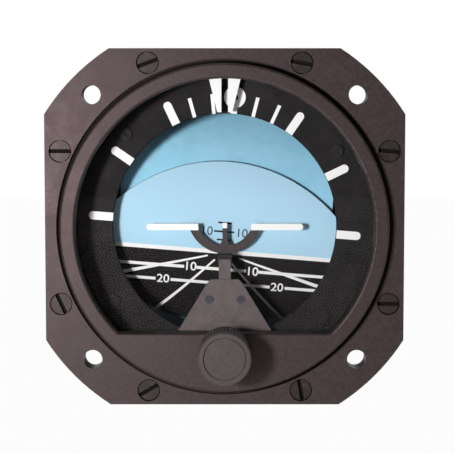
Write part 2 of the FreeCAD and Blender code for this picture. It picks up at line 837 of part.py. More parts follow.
cap = Piece("filter_cap")
cap_face = cap.sketch("XZ_Plane", hub_rear).circle(0, 0, s.hub_outer_radius)
for u, v, angle in around(FILTER_HOLES, s.filter_cap_hole_circle):
    cap_face.circle(u, v, s.filter_cap_hole_radius)
for u, v, angle in filter_screw_places:
    cap_face.circle(u, v, s.filter_screw_radius + s.filter_screw_clearance)
cap.pad(cap_face, s.filter_cap_thickness)

rear_screws("filter_cap_screws", filter_screw_places, cap_rear,
            s.filter_cap_thickness + s.hub_length + s.filter_screw_depth,
            s.filter_screw_radius, s.filter_screw_head_radius, s.filter_screw_head_height,
            s.filter_screw_slot_width, s.filter_screw_slot_depth)

# ---------------------------------------------------------------- mask ring, index, pedestal

mask = Piece("mask_ring")
mask.revolve(mask.sketch("XY_Plane").loop([
    (s.mask_inner_radius, case_front), (mask_outer, case_front),
    (mask_outer, s.mask_rear), (s.mask_inner_radius, s.mask_rear)]))
mask_rivet_places = [(s.index_rivet_x * i, s.index_rivet_z) for i in (-1, 1)]
mask_rivet_places += [(s.foot_rivet_x * i, -s.foot_rivet_z) for i in (-1, 1)]
mask_holes = mask.sketch("XZ_Plane", case_front)
for u, v in mask_rivet_places:
    mask_holes.circle(u, v, s.mask_rivet_radius)
mask.pocket(mask_holes, s.mask_rear - case_front)

index = Piece("bank_index")
index.pad(index.sketch("XZ_Plane", s.mask_rear).loop([
    (-s.index_half_bottom, s.index_bottom), (-s.index_half_gap, s.index_bottom),
    (-s.index_half_gap, s.index_gap_top), (s.index_half_gap, s.index_gap_top),
    (s.index_half_gap, s.index_bottom), (s.index_half_bottom, s.index_bottom),
    (s.index_half_top, s.index_top), (-s.index_half_top, s.index_top)]), s.sheet_thickness)
index_holes = index.sketch("XZ_Plane", s.mask_rear)
for u, v in mask_rivet_places[:2]:
    index_holes.circle(u, v, s.mask_rivet_radius)
index.pocket(index_holes, s.sheet_thickness)

pedestal = Piece("pedestal_plate")
foot_low = side(s.pedestal_foot_radius, s.pedestal_foot_half_width)
pedestal.pad(pedestal.sketch("XZ_Plane", s.mask_rear).loop([
    (s.pedestal_half_top - s.pedestal_corner, -s.pedestal_top),
    (s.pedestal_corner - s.pedestal_half_top, -s.pedestal_top),
    (-s.pedestal_half_top, -s.pedestal_top - s.pedestal_corner),
    (-s.pedestal_half_bottom, -s.window_flat), (-s.pedestal_foot_half_width, -s.pedestal_foot_top),
    (-s.pedestal_foot_half_width, -foot_low, arc(0, 0, s.pedestal_foot_radius)),
    (s.pedestal_foot_half_width, -foot_low), (s.pedestal_foot_half_width, -s.pedestal_foot_top),
    (s.pedestal_half_bottom, -s.window_flat),
    (s.pedestal_half_top, -s.pedestal_top - s.pedestal_corner)]), s.sheet_thickness)
pedestal_rivet_places = [(s.pedestal_rivet_x * i, -s.pedestal_rivet_z) for i in (-1, 1)]
pedestal_holes = pedestal.sketch("XZ_Plane", s.mask_rear)
pedestal_holes.circle(0, -s.knob_axis_depth, s.shaft_radius + s.running_clearance)
for u, v in mask_rivet_places[2:]:
    pedestal_holes.circle(u, v, s.mask_rivet_radius)
for u, v in pedestal_rivet_places:
    pedestal_holes.circle(u, v, s.pedestal_rivet_radius)
pedestal.pocket(pedestal_holes, s.sheet_thickness)

guide = Piece("slide_guide")
guide.pad(guide.sketch("XZ_Plane", sheet_rear).box(
    -s.guide_half_width, s.guide_half_width, -s.guide_bottom, -s.guide_top), s.guide_thickness)
channel_half = s.stem_half_width + s.guide_clearance
guide.pocket(guide.sketch("XZ_Plane", sheet_rear).box(
    -channel_half, channel_half, -s.guide_bottom - CUT_MARGIN, CUT_MARGIN - s.guide_top),
    slide_rear + s.guide_clearance - sheet_rear)
guide_holes = guide.sketch("XZ_Plane", sheet_rear)
for u, v in pedestal_rivet_places:
    guide_holes.circle(u, v, s.pedestal_rivet_radius)
guide.pocket(guide_holes, s.guide_thickness)


def rivets(label, places, front, rear, radius, head_radius, head_height, placement=None):
    """Round-headed rivets along Y with their heads in front."""
    piece = Piece(label, placement)
    heads = piece.sketch("XZ_Plane", front - head_height)
    shanks = piece.sketch("XZ_Plane", front)
    for u, v in places:
        heads.circle(u, v, head_radius)
        shanks.circle(u, v, radius)
    piece.pad(heads, head_height)
    piece.pad(shanks, rear - front)
    return piece


pedestal_rivets = rivets("pedestal_rivets", pedestal_rivet_places, s.mask_rear,
                         sheet_rear + s.guide_thickness, s.pedestal_rivet_radius,
                         s.pedestal_rivet_head_radius, s.pedestal_rivet_head_height)
mask_rivets = Piece("mask_ring_rivets")
rivet_shanks = mask_rivets.sketch("XZ_Plane", case_front)
rivet_heads = mask_rivets.sketch("XZ_Plane", sheet_rear)
for u, v in mask_rivet_places:
    rivet_shanks.circle(u, v, s.mask_rivet_radius)
    rivet_heads.circle(u, v, s.mask_rivet_head_radius)
mask_rivets.pad(rivet_shanks, sheet_rear - case_front)
mask_rivets.pad(rivet_heads, s.mask_rivet_head_height)

# ---------------------------------------------------------------- knob, shaft and pinion

bushing = Piece("knob_bushing", knob_frame)
bore = s.shaft_radius + s.running_clearance
bushing.revolve(bushing.sketch("XY_Plane").loop([
    (bore, -s.spigot_height - s.bushing_flange_thickness),
    (s.bushing_flange_radius, -s.spigot_height - s.bushing_flange_thickness),
    (s.bushing_flange_radius, -s.spigot_height), (s.bushing_radius, -s.spigot_height),
    (s.bushing_radius, s.bushing_rear), (bore, s.bushing_rear)]))

knob = Piece("knob", knob_frame)
knob_face = s.knob_face_recess - s.knob_front
groove_inner = s.knob_rim_inner_radius - s.knob_groove_width
knob_bore = s.shaft_radius + s.press_clearance
bore_end = -s.knob_back - s.knob_bore_depth
knob.revolve(knob.sketch("XY_Plane").loop([
    (0, knob_face), (groove_inner, knob_face), (groove_inner, knob_face + s.knob_groove_depth),
    (s.knob_rim_inner_radius, knob_face + s.knob_groove_depth),
    (s.knob_rim_inner_radius, -s.knob_front),
    (s.knob_radius - s.knob_rim_chamfer, -s.knob_front),
    (s.knob_radius, s.knob_rim_chamfer - s.knob_front), (s.knob_radius, -s.knob_back),
    (knob_bore, -s.knob_back), (knob_bore, bore_end), (0, bore_end)]))
knob.pocket(knob.sketch("XY_Plane", -s.knob_radius - CUT_MARGIN).circle(
    0, -s.set_screw_position, s.set_screw_radius), s.knob_radius + CUT_MARGIN - s.shaft_radius)
knurl_half_mouth = 2 * s.knob_knurl_half_width
knurl = knob.sketch("XZ_Plane", s.knob_smooth_rim - s.knob_front).loop([
    (s.knob_radius - s.knob_knurl_depth, 0),
    (s.knob_radius + s.knob_knurl_depth, -knurl_half_mouth),
    (s.knob_radius + s.knob_knurl_depth, knurl_half_mouth)])
first_knurl = knob.pocket(knurl, s.knob_front - s.knob_smooth_rim - s.knob_back - s.knob_knurl_end)
knob.polar(first_knurl, knurl, KNURLS)

set_screw = Piece("knob_set_screw", moved(0, -s.set_screw_position, -s.knob_axis_depth))
set_screw.pad(set_screw.sketch("XY_Plane", -s.set_screw_outer).circle(
    0, 0, s.set_screw_radius - s.press_clearance), s.set_screw_outer - s.shaft_radius)
set_screw.pocket(set_screw.sketch("XY_Plane", -s.set_screw_outer).box(
    -s.set_screw_radius, s.set_screw_radius, -s.set_screw_slot_width / 2, s.set_screw_slot_width / 2),
    s.set_screw_slot_depth)

shaft = Piece("knob_shaft", knob_frame)
groove_front = s.clip_start - s.clip_side_gap
groove_rear = s.clip_start + s.clip_thickness + s.clip_side_gap
shaft.revolve(shaft.sketch("XY_Plane").loop([
    (0, -s.shaft_front), (s.shaft_radius, -s.shaft_front), (s.shaft_radius, groove_front),
    (s.shaft_groove_radius, groove_front), (s.shaft_groove_radius, groove_rear),
    (s.shaft_radius, groove_rear), (s.shaft_radius, s.shaft_rear), (0, s.shaft_rear)]))

clip = Piece("shaft_clip", knob_frame)
clip.pad(clip.sketch("XZ_Plane", s.clip_start).circle(0, 0, s.clip_radius).circle(
    0, 0, s.shaft_groove_radius + s.press_clearance), s.clip_thickness)
clip.pocket(clip.sketch("XZ_Plane", s.clip_start).box(
    -s.clip_mouth_half_width, s.clip_mouth_half_width, 0, s.clip_radius + CUT_MARGIN), s.clip_thickness)


def tooth_gap(outline, pitch_radius, module, count, backlash, root_gap, angle):
    """The gap between two teeth, centred on a direction."""
    half = math.pi * module / 4 + backlash / 2
    slope = math.tan(math.radians(GEAR_FLANK))
    inner, outer = pitch_radius - module * root_gap, pitch_radius + module + CUT_MARGIN / 2
    corners = []
    for radius, sign in ((inner, -1), (outer, -1), (outer, 1), (inner, 1)):
        across = (half + (radius - pitch_radius) * slope) * sign
        corners.append((cosine(angle) * radius - sine(angle) * across,
                        sine(angle) * radius + cosine(angle) * across))
    return outline.loop(corners)


knob_gear = Piece("knob_pinion", knob_frame)
knob_pitch = s.rack_module * KNOB_PINION_TEETH / 2
knob_gear.pad(knob_gear.sketch("XZ_Plane", s.slide_start).circle(
    0, 0, knob_pitch + s.rack_module * RACK_ADDENDUM).circle(0, 0, s.shaft_radius + s.press_clearance),
    s.slide_thickness)
gap = tooth_gap(knob_gear.sketch("XZ_Plane", s.slide_start), knob_pitch, s.rack_module,
                KNOB_PINION_TEETH, s.rack_backlash, s.gear_root_gap / s.gear_module,
                HALF_TURN / KNOB_PINION_TEETH)
knob_gear.polar(knob_gear.pocket(gap, s.slide_thickness), gap, KNOB_PINION_TEETH)

# ---------------------------------------------------------------- aircraft symbol on its slide

slide = Piece("symbol_slide")
rack_pitch = math.pi * s.rack_module
rack_line = -knob_pitch
rack_tip = rack_line + s.rack_module * RACK_ADDENDUM
rack_root = rack_line - s.rack_module * RACK_DEDENDUM
tooth_half = rack_pitch / 4 - s.rack_backlash / 2
flank_slope = s.rack_module * math.tan(math.radians(GEAR_FLANK))
tip_half = tooth_half - flank_slope * RACK_ADDENDUM
root_half = tooth_half + flank_slope * RACK_DEDENDUM
rack = [(-s.rack_leg_outer, -s.rack_leg_bottom), (rack_root, -s.rack_leg_bottom)]
for number in range(RACK_TEETH):
    middle = -s.knob_axis_depth + rack_pitch * (number - (RACK_TEETH - 1) / 2)
    rack += [(rack_root, middle - root_half), (rack_tip, middle - tip_half),
             (rack_tip, middle + tip_half), (rack_root, middle + root_half)]
slide.pad(slide.sketch("XZ_Plane", s.slide_start).loop(rack + [
    (rack_root, -s.slide_link_bottom), (s.stem_half_width, -s.slide_link_bottom),
    (s.stem_half_width, -s.stem_top), (-s.stem_half_width, -s.stem_top),
    (-s.stem_half_width, -s.slide_link_top), (-s.rack_leg_outer, -s.slide_link_top)]),
    s.slide_thickness)

symbol = Piece("symbol_arc")
symbol_front = slide_rear + s.symbol_setback
inner_radius = s.symbol_arc_radius - s.symbol_arc_width
end_drop = s.symbol_arc_centre - s.symbol_arc_end
outer_end, inner_end = side(s.symbol_arc_radius, end_drop), side(inner_radius, end_drop)
symbol.pad(symbol.sketch("XZ_Plane", symbol_front).loop([
    (-outer_end, s.symbol_arc_end, arc(0, s.symbol_arc_centre, s.symbol_arc_radius)),
    (outer_end, s.symbol_arc_end),
    (inner_end, s.symbol_arc_end, arc(0, s.symbol_arc_centre, inner_radius, ccw=False)),
    (-inner_end, s.symbol_arc_end)]), s.symbol_thickness)
symbol.pad(symbol.sketch("XZ_Plane", symbol_front).loop([
    (-s.symbol_collar_half_width, -s.symbol_collar_bottom),
    (s.symbol_collar_half_width, -s.symbol_collar_bottom),
    (s.symbol_collar_half_width, -s.symbol_collar_top),
    (s.symbol_post_flare, -s.symbol_collar_top + s.symbol_post_flare),
    (s.symbol_post_half_width, -s.symbol_post_flare_top + s.symbol_post_flare),
    (s.symbol_post_half_width, s.symbol_post_top),
    (-s.symbol_post_half_width, s.symbol_post_top),
    (-s.symbol_post_half_width, -s.symbol_post_flare_top + s.symbol_post_flare),
    (-s.symbol_post_flare, -s.symbol_collar_top + s.symbol_post_flare),
    (-s.symbol_collar_half_width, -s.symbol_collar_top)]), s.symbol_thickness)
symbol.pad(symbol.sketch("XZ_Plane", slide_rear).box(
    -s.symbol_spacer_half_width, s.symbol_spacer_half_width,
    -s.symbol_spacer_bottom, -s.symbol_spacer_top), s.symbol_setback)

wings = Piece("symbol_wings")
wing_front = symbol_front - s.wing_thickness
wing_low, wing_high = -s.wing_level - s.wing_half_height, s.wing_half_height - s.wing_level
tip_centre = s.wing_outer - s.wing_half_height
wing_outline = wings.sketch("XZ_Plane", wing_front)
wing_outline.loop([
    (s.wing_inner, wing_low), (tip_centre, wing_low, arc(tip_centre, -s.wing_level, s.wing_half_height)),
    (tip_centre, wing_high), (s.wing_inner, wing_high)])
wing_outline.loop([
    (-s.wing_inner, wing_high), (-tip_centre, wing_high,
                                 arc(-tip_centre, -s.wing_level, s.wing_half_height)),
    (-tip_centre, wing_low), (-s.wing_inner, wing_low)])
wings.pad(wing_outline, s.wing_thickness)

symbol_rivets = Piece("symbol_rivets")
wing_rivets = symbol_rivets.sketch("XZ_Plane", wing_front)
wing_holes = wings.sketch("XZ_Plane", wing_front)
arc_holes = symbol.sketch("XZ_Plane", symbol_front)
for sign in (-1, 1):
    wing_rivets.circle(s.symbol_rivet_x * sign, -s.wing_level, s.symbol_rivet_radius)
    wing_holes.circle(s.symbol_rivet_x * sign, -s.wing_level, s.symbol_rivet_radius)
    arc_holes.circle(s.symbol_rivet_x * sign, -s.wing_level, s.symbol_rivet_radius)
wings.pocket(wing_holes, s.wing_thickness)
symbol.pocket(arc_holes, s.symbol_thickness)
symbol.pocket(symbol.sketch("XZ_Plane", slide_rear).circle(
    0, -s.collar_rivet_z, s.symbol_rivet_radius), s.symbol_setback)
slide.pocket(slide.sketch("XZ_Plane", s.slide_start).circle(
    0, -s.collar_rivet_z, s.symbol_rivet_radius), s.slide_thickness)
symbol_rivets.pad(wing_rivets, s.wing_thickness + s.symbol_thickness)
symbol_rivets.pad(symbol_rivets.sketch("XZ_Plane", s.slide_start).circle(
    0, -s.collar_rivet_z, s.symbol_rivet_radius), s.slide_thickness + s.symbol_setback)

# ---------------------------------------------------------------- roll gimbal

bank_ring = Piece("bank_ring", rolled)
bank_ring.revolve(bank_ring.sketch("XY_Plane").loop([
    (s.bank_ring_inner_radius, s.bank_ring_front + s.bank_ring_chamfer),
    (s.bank_ring_inner_radius + s.bank_ring_chamfer, s.bank_ring_front),
    (s.bank_ring_outer_radius, s.bank_ring_front),
    (s.bank_ring_outer_radius, gimbal_face), (s.bank_ring_inner_radius, gimbal_face)]))
bank_screw_places = []
for start in (s.bank_screw_angle, HALF_TURN - s.bank_screw_angle,
              HALF_TURN + s.bank_screw_angle, -s.bank_screw_angle):
    bank_screw_places.append((cosine(start) * s.bank_screw_circle, sine(start) * s.bank_screw_circle, start))
bank_holes = bank_ring.sketch("XZ_Plane", s.bank_ring_front)
for u, v, angle in bank_screw_places:
    bank_holes.circle(u, v, s.bank_screw_hole_radius)
bank_ring.pocket(bank_holes, s.bank_ring_thickness)

screws(Piece("bank_ring_screws", rolled), "XZ_Plane", bank_screw_places,
       (s.bank_ring_front - s.bank_screw_head_height, s.bank_ring_front, s.bank_screw_head_radius),
       (s.bank_ring_front, gimbal_face + s.gimbal_face_thickness - s.running_clearance,
        s.bank_screw_shank_radius), s.bank_screw_slot_width, s.bank_screw_slot_depth)

frame = Piece("gimbal_frame", rolled)
arm_middle = (s.gimbal_arm_inner + s.gimbal_arm_outer) / 2
face = frame.sketch("XZ_Plane", gimbal_face).circle(0, 0, s.gimbal_face_outer_radius)
face.circle(0, 0, s.gimbal_face_inner_radius)
for u, v, angle in bank_screw_places:
    face.circle(u, v, s.bank_screw_hole_radius)
frame.pad(face, s.gimbal_face_thickness)
arms = frame.sketch("XZ_Plane", gimbal_face + s.gimbal_face_thickness)
for sign in (-1, 1):
    inner, outer = s.gimbal_arm_inner * sign, s.gimbal_arm_outer * sign
    arms.box(min(inner, outer, key=lambda item: item.value), max(inner, outer, key=lambda item: item.value),
             -s.gimbal_arm_half_height, s.gimbal_arm_half_height)
frame.pad(arms, gimbal_rear - gimbal_face - s.gimbal_face_thickness)
trunnion_places = around(TRUNNION_SCREWS, s.trunnion_screw_circle, HALF_TURN / TRUNNION_SCREWS)
wall = frame.sketch("XZ_Plane", s.gimbal_wall_start).box(
    -s.gimbal_arm_inner - CUT_MARGIN, s.gimbal_arm_inner + CUT_MARGIN,
    -s.gimbal_arm_half_height, s.gimbal_arm_half_height)
wall.circle(0, 0, s.trunnion_bore_radius)
for u, v, angle in trunnion_places:
    wall.circle(u, v, s.trunnion_screw_radius)
frame.pad(wall, s.gimbal_wall_thickness)
through = s.gimbal_arm_outer * 2 + CUT_MARGIN * 2
side_cuts = frame.sketch("YZ_Plane", -s.gimbal_arm_outer - CUT_MARGIN)
side_cuts.circle(s.horizon_pivot, 0, s.pivot_pin_radius)
side_cuts.circle(pitch_axis, 0, s.pitch_bearing_radius)
bar_middle = s.bar_start + s.bar_size / 2
for sign in (-1, 1):
    side_cuts.circle(bar_middle, s.post_z * sign, s.bar_screw_radius)
side_cuts.box(s.gimbal_window_front, s.gimbal_window_rear,
              -s.gimbal_window_half_height, s.gimbal_window_half_height)
side_cuts.box(s.gimbal_rear_window_front, s.gimbal_rear_window_rear,
              -s.gimbal_window_half_height, s.gimbal_window_half_height)
frame.pocket(side_cuts, through)

trunnion = Piece("gimbal_trunnion", rolled)
trunnion.revolve(trunnion.sketch("XY_Plane").loop([
    (s.trunnion_bore_radius, gimbal_rear), (s.trunnion_flange_radius, gimbal_rear),
    (s.trunnion_flange_radius, gimbal_rear + s.trunnion_flange_thickness),
    (s.trunnion_shoulder_radius, gimbal_rear + s.trunnion_flange_thickness),
    (s.trunnion_shoulder_radius, bearing_start), (s.trunnion_radius, bearing_start),
    (s.trunnion_radius, s.trunnion_end), (s.trunnion_bore_radius, s.trunnion_end)]))
trunnion_holes = trunnion.sketch("XZ_Plane", gimbal_rear)
for u, v, angle in trunnion_places:
    trunnion_holes.circle(u, v, s.trunnion_screw_radius)
trunnion.pocket(trunnion_holes, s.trunnion_flange_thickness)

trunnion_screws = Piece("trunnion_screws", rolled)
seat = gimbal_rear + s.trunnion_flange_thickness
shanks = trunnion_screws.sketch("XZ_Plane", gimbal_rear - s.trunnion_screw_length)
heads = trunnion_screws.sketch("XZ_Plane", seat)
slots = trunnion_screws.sketch("XZ_Plane", seat + s.trunnion_screw_head_height - s.bank_screw_slot_depth)
for u, v, angle in trunnion_places:
    shanks.circle(u, v, s.trunnion_screw_radius - s.press_clearance)
    heads.circle(u, v, s.trunnion_screw_head_radius)
    slots.slot(u, v, s.trunnion_screw_head_radius + CUT_MARGIN, s.bank_screw_slot_width / 2, angle)
trunnion_screws.pad(shanks, s.trunnion_screw_length + s.trunnion_flange_thickness)
trunnion_screws.pad(heads, s.trunnion_screw_head_height)
trunnion_screws.pocket(slots, s.bank_screw_slot_depth)


def race(piece, inner, outer):
    """Two rings of one ball bearing pair, at the two bearing seats."""
    for number in range(2):
        start = bearing_start + s.bearing_width * number
        ring = piece.sketch("XZ_Plane", start).circle(0, 0, outer).circle(0, 0, inner)
        piece.pad(ring, s.bearing_width)


race(Piece("roll_bearing_outer_races"), s.bearing_split_radius + s.bearing_gap / 2,
     s.bearing_outer_radius)
race(Piece("roll_bearing_inner_races", rolled), s.trunnion_radius,
     s.bearing_split_radius - s.bearing_gap / 2)
nut = Piece("trunnion_nut", rolled)
nut_start = bearing_start + s.bearing_width * 2
corner = s.nut_half_flats / cosine(HALF_TURN / NUT_SIDES)
nut_outline = nut.sketch("XZ_Plane", nut_start).loop([(u, v) for u, v, angle in around(NUT_SIDES, corner)])
nut_outline.circle(0, 0, s.trunnion_radius)
nut.pad(nut_outline, s.nut_thickness)


def x_pins(piece, spans, v=0, u=0):
    """Turned pins along X on both sides; spans are (inner, outer, radius)."""
    for inner, outer, radius in spans:
        piece.pad(piece.sketch("YZ_Plane", inner).circle(u, v, radius), outer - inner)
        piece.pad(piece.sketch("YZ_Plane", -outer).circle(u, v, radius), outer - inner)


x_pins(Piece("horizon_pivot_pins", at_horizon_pivot), [
    (s.pivot_pin_inner, s.gimbal_arm_outer, s.pivot_pin_radius),
    (s.gimbal_arm_outer, s.gimbal_arm_outer + s.pivot_pin_head_height, s.pivot_pin_head_radius)])

pitch_bearings = Piece("pitch_bearings", at_pitch_axis)
for start in (s.gimbal_arm_inner, -s.gimbal_arm_outer):
    ring = pitch_bearings.sketch("YZ_Plane", start).circle(0, 0, s.pitch_bearing_radius)
    ring.circle(0, 0, s.pivot_pin_radius + s.running_clearance)
    pitch_bearings.pad(ring, s.gimbal_arm_outer - s.gimbal_arm_inner)

bars = Piece("tie_bars", rolled)
bar_outline = bars.sketch("XZ_Plane", s.bar_start)
bar_half = s.bar_size / 2
for low in (s.post_z - bar_half, -s.post_z - bar_half):
    bar_outline.box(-s.gimbal_arm_inner, s.gimbal_arm_inner, low, low + s.bar_size)
bars.pad(bar_outline, s.bar_size)
for start in (-s.gimbal_arm_inner, s.gimbal_arm_inner - s.bar_screw_length):
    taps = bars.sketch("YZ_Plane", start)
    taps.circle(bar_middle, s.post_z, s.bar_screw_radius)
    taps.circle(bar_middle, -s.post_z, s.bar_screw_radius)
    bars.pocket(taps, s.bar_screw_length)

bar_screws = Piece("tie_bar_screws", rolled)
shank_inner = s.gimbal_arm_inner - s.bar_screw_length + s.running_clearance
head_outer = s.gimbal_arm_outer + s.bar_screw_head_height
for inner, outer, radius in ((shank_inner, s.gimbal_arm_outer, s.bar_screw_radius - s.press_clearance),
                             (s.gimbal_arm_outer, head_outer, s.bar_screw_head_radius)):
    for start in (inner, -outer):
        outline = bar_screws.sketch("YZ_Plane", start)
        outline.circle(bar_middle, s.post_z, radius)
        outline.circle(bar_middle, -s.post_z, radius)
        bar_screws.pad(outline, outer - inner)
for start in (-head_outer, head_outer - s.bank_screw_slot_depth):
    outline = bar_screws.sketch("YZ_Plane", start)
    for sign in (-1, 1):
        outline.slot(bar_middle, s.post_z * sign, s.bar_screw_head_radius + CUT_MARGIN / 4,
                     s.bank_screw_slot_width / 2, HALF_TURN / 8 * sign)
    bar_screws.pocket(outline, s.bank_screw_slot_depth)

posts = Piece("sky_plate_posts", rolled)
post_outline = posts.sketch("XZ_Plane", s.post_front)
post_places = [(s.post_x * i, s.post_z * j) for i in (-1, 1) for j in (-1, 1)]
for u, v in post_places:
    post_outline.circle(u, v, s.post_radius)
posts.pad(post_outline, s.bar_start - s.post_front)


def shell(piece, half_width, outer, thickness, half_angle):
    """A strip bent about the horizon pivot, with its middle towards -Y."""
    inner = outer - thickness
    rise, run = sine(half_angle), cosine(half_angle)
    piece.pad(piece.sketch("YZ_Plane", -half_width).loop([
        (-run * outer, rise * outer, arc(0, 0, outer)), (-run * outer, -rise * outer),
        (-run * inner, -rise * inner, arc(0, 0, inner, ccw=False)), (-run * inner, rise * inner)]),
        half_width * 2)


sky = Piece("sky_plate", at_horizon_pivot)
shell(sky, s.sky_half_width, s.sky_radius, s.sky_thickness, s.sky_half_angle)
sky.pocket(sky.sketch("XZ_Plane", -s.sky_radius - CUT_MARGIN).circle(
    0, 0, s.sky_trim_radius).circle(0, 0, s.sky_radius * 2), s.sky_radius + CUT_MARGIN)
sky_holes = sky.sketch("XZ_Plane", -s.sky_radius - CUT_MARGIN)
for u, v in post_places:
    sky_holes.circle(u, v, s.post_radius)
sky.pocket(sky_holes, s.sky_radius)

# ---------------------------------------------------------------- horizon bar

horizon = Piece("horizon_plate", horizon_frame)
shell(horizon, s.horizon_half_width, s.horizon_radius, s.horizon_thickness, s.horizon_half_angle)
edge_centre = s.horizon_edge_apex - s.horizon_edge_radius
edge_half = s.horizon_half_width + CUT_MARGIN / 2
edge_end = edge_centre + side(s.horizon_edge_radius, edge_half)
trim = horizon.sketch("XZ_Plane", -s.horizon_radius - CUT_MARGIN)
trim.loop([(-edge_half, edge_end, arc(0, edge_centre, s.horizon_edge_radius, ccw=False)),
           (edge_half, edge_end), (edge_half, s.horizon_half_width), (-edge_half, s.horizon_half_width)])
trim.loop([(edge_half, -edge_end, arc(0, -edge_centre, s.horizon_edge_radius, ccw=False)),
           (-edge_half, -edge_end), (-edge_half, -s.horizon_half_width),
           (edge_half, -s.horizon_half_width)])
horizon.pocket(trim, s.horizon_radius)

arms = Piece("horizon_arms", horizon_frame)
arm_tip = s.horizon_radius - s.horizon_thickness
arm_thickness = s.horizon_half_width - s.horizon_arm_inner
tip_u = side(arm_tip, s.horizon_arm_half_height)
hub_u = side(s.horizon_hub_radius, s.horizon_arm_half_height)
for start in (s.horizon_arm_inner, -s.horizon_half_width):
    arms.pad(arms.sketch("YZ_Plane", start).loop([
        (-tip_u, s.horizon_arm_half_height, arc(0, 0, arm_tip)),
        (-tip_u, -s.horizon_arm_half_height),
        (-hub_u, -s.horizon_arm_half_height, arc(0, 0, s.horizon_hub_radius)),
        (-hub_u, s.horizon_arm_half_height)]), arm_thickness)
arms.pad(arms.sketch("YZ_Plane", s.horizon_arm_inner).box(
    0, s.horizon_tail_length, -s.horizon_tail_half_height, s.horizon_tail_half_height), arm_thickness)
arm_bores = arms.sketch("YZ_Plane", -s.horizon_half_width)
arm_bores.circle(0, 0, s.pivot_pin_radius + s.running_clearance)
arms.pocket(arm_bores, s.horizon_half_width * 2)
rivet_places = [(0, s.horizon_rivet_circle), (0, -s.horizon_rivet_circle)]
left_holes = arms.sketch("YZ_Plane", -s.horizon_half_width)
for u, v in rivet_places:
    left_holes.circle(u, v, s.horizon_rivet_radius)
arms.pocket(left_holes, arm_thickness)
arms.pocket(arms.sketch("YZ_Plane", s.horizon_arm_inner).circle(
    s.counterweight_distance, 0, s.horizon_rivet_radius), arm_thickness)

sector = Piece("horizon_sector", horizon_frame)
pinion_pitch = s.gear_module * s.pinion_teeth / 2
sector_pitch = pinion_pitch / s.horizon_ratio
sector_tip = sector_pitch + s.gear_module
sector_start = -s.horizon_arm_inner
spread_u, spread_v = cosine(s.sector_half_angle), sine(s.sector_half_angle)
flat_u = s.horizon_hub_radius * spread_v
flat_v = s.horizon_hub_radius * spread_u
sector.pad(sector.sketch("YZ_Plane", sector_start).loop([
    (-flat_u, flat_v, arc(0, 0, s.horizon_hub_radius)), (-flat_u, -flat_v),
    (sector_tip * spread_u - flat_u, -sector_tip * spread_v - flat_v + s.horizon_hub_radius),
    (sector_tip * spread_u, -sector_tip * spread_v, arc(0, 0, sector_tip)),
    (sector_tip * spread_u, sector_tip * spread_v),
    (sector_tip * spread_u - flat_u, sector_tip * spread_v + flat_v - s.horizon_hub_radius)]),
    s.gear_thickness)
sector_holes = sector.sketch("YZ_Plane", sector_start)
sector_holes.circle(0, 0, s.pivot_pin_radius + s.running_clearance)
for u, v in rivet_places:
    sector_holes.circle(u, v, s.horizon_rivet_radius)
sector.pocket(sector_holes, s.gear_thickness)
gap = tooth_gap(sector.sketch("YZ_Plane", sector_start), sector_pitch, s.gear_module, 0,
                s.gear_backlash, s.gear_root_gap, -s.sector_half_angle)
sector.polar(sector.pocket(gap, s.gear_thickness), gap, SECTOR_CUTS, s.sector_half_angle.value * 2)

counterweight = Piece("horizon_counterweight", horizon_frame)
weight_start = s.horizon_arm_inner - s.counterweight_thickness
counterweight.pad(counterweight.sketch("YZ_Plane", weight_start).circle(
    s.counterweight_distance, 0, s.counterweight_radius).circle(
    s.counterweight_distance, 0, s.horizon_rivet_radius), s.counterweight_thickness)

horizon_rivets = Piece("horizon_rivets", horizon_frame)
left_rivets = horizon_rivets.sketch("YZ_Plane", -s.horizon_half_width)
for u, v in rivet_places:
    left_rivets.circle(u, v, s.horizon_rivet_radius)
horizon_rivets.pad(left_rivets, arm_thickness + s.gear_thickness)
horizon_rivets.pad(horizon_rivets.sketch("YZ_Plane", weight_start).circle(
    s.counterweight_distance, 0, s.horizon_rivet_radius), s.counterweight_thickness + arm_thickness)

# ---------------------------------------------------------------- gyro housing

housing_inner = s.housing_radius - s.housing_wall
housing_screw_circle = s.housing_radius - s.housing_screw_inset
rotor_radius = housing_inner - s.rotor_gap
inner_end = s.housing_half_height - s.housing_end_thickness
boss_end = inner_end - s.housing_boss_height
bearing_seat = boss_end + s.rotor_bearing_width
rim = s.housing_radius - s.housing_edge_chamfer
rim_end = s.housing_half_height - s.housing_edge_chamfer


def cup(piece, sign, split):
    """One half of the gyro housing, closed at its far end round a bearing seat."""
    piece.revolve(piece.sketch("XZ_Plane").loop([
        (s.housing_end_hole_radius, s.housing_half_height * sign), (rim, s.housing_half_height * sign),
        (s.housing_radius, rim_end * sign), (s.housing_radius, split),
        (housing_inner, split), (housing_inner, inner_end * sign),
        (s.housing_boss_radius, inner_end * sign), (s.housing_boss_radius, boss_end * sign),
        (s.rotor_bearing_radius, boss_end * sign), (s.rotor_bearing_radius, bearing_seat * sign),
        (s.housing_end_hole_radius, bearing_seat * sign)]))


housing_places = around(HOUSING_SCREWS, housing_screw_circle, HOUSING_SCREW_START)
screw_top = s.housing_half_height - s.housing_screw_sink
screw_bottom = screw_top - s.housing_screw_length
upper = Piece("housing_upper", housing_frame)
cup(upper, 1, s.housing_split)
upper_holes = upper.sketch("XY_Plane", s.housing_split)
head_pockets = upper.sketch("XY_Plane", screw_top)
for u, v, angle in housing_places:
    upper_holes.circle(u, v, s.housing_screw_radius)
    head_pockets.circle(u, v, s.housing_screw_head_radius)
upper.pocket(upper_holes, s.housing_half_height - s.housing_split)
upper.pocket(head_pockets, s.housing_screw_sink + CUT_MARGIN)

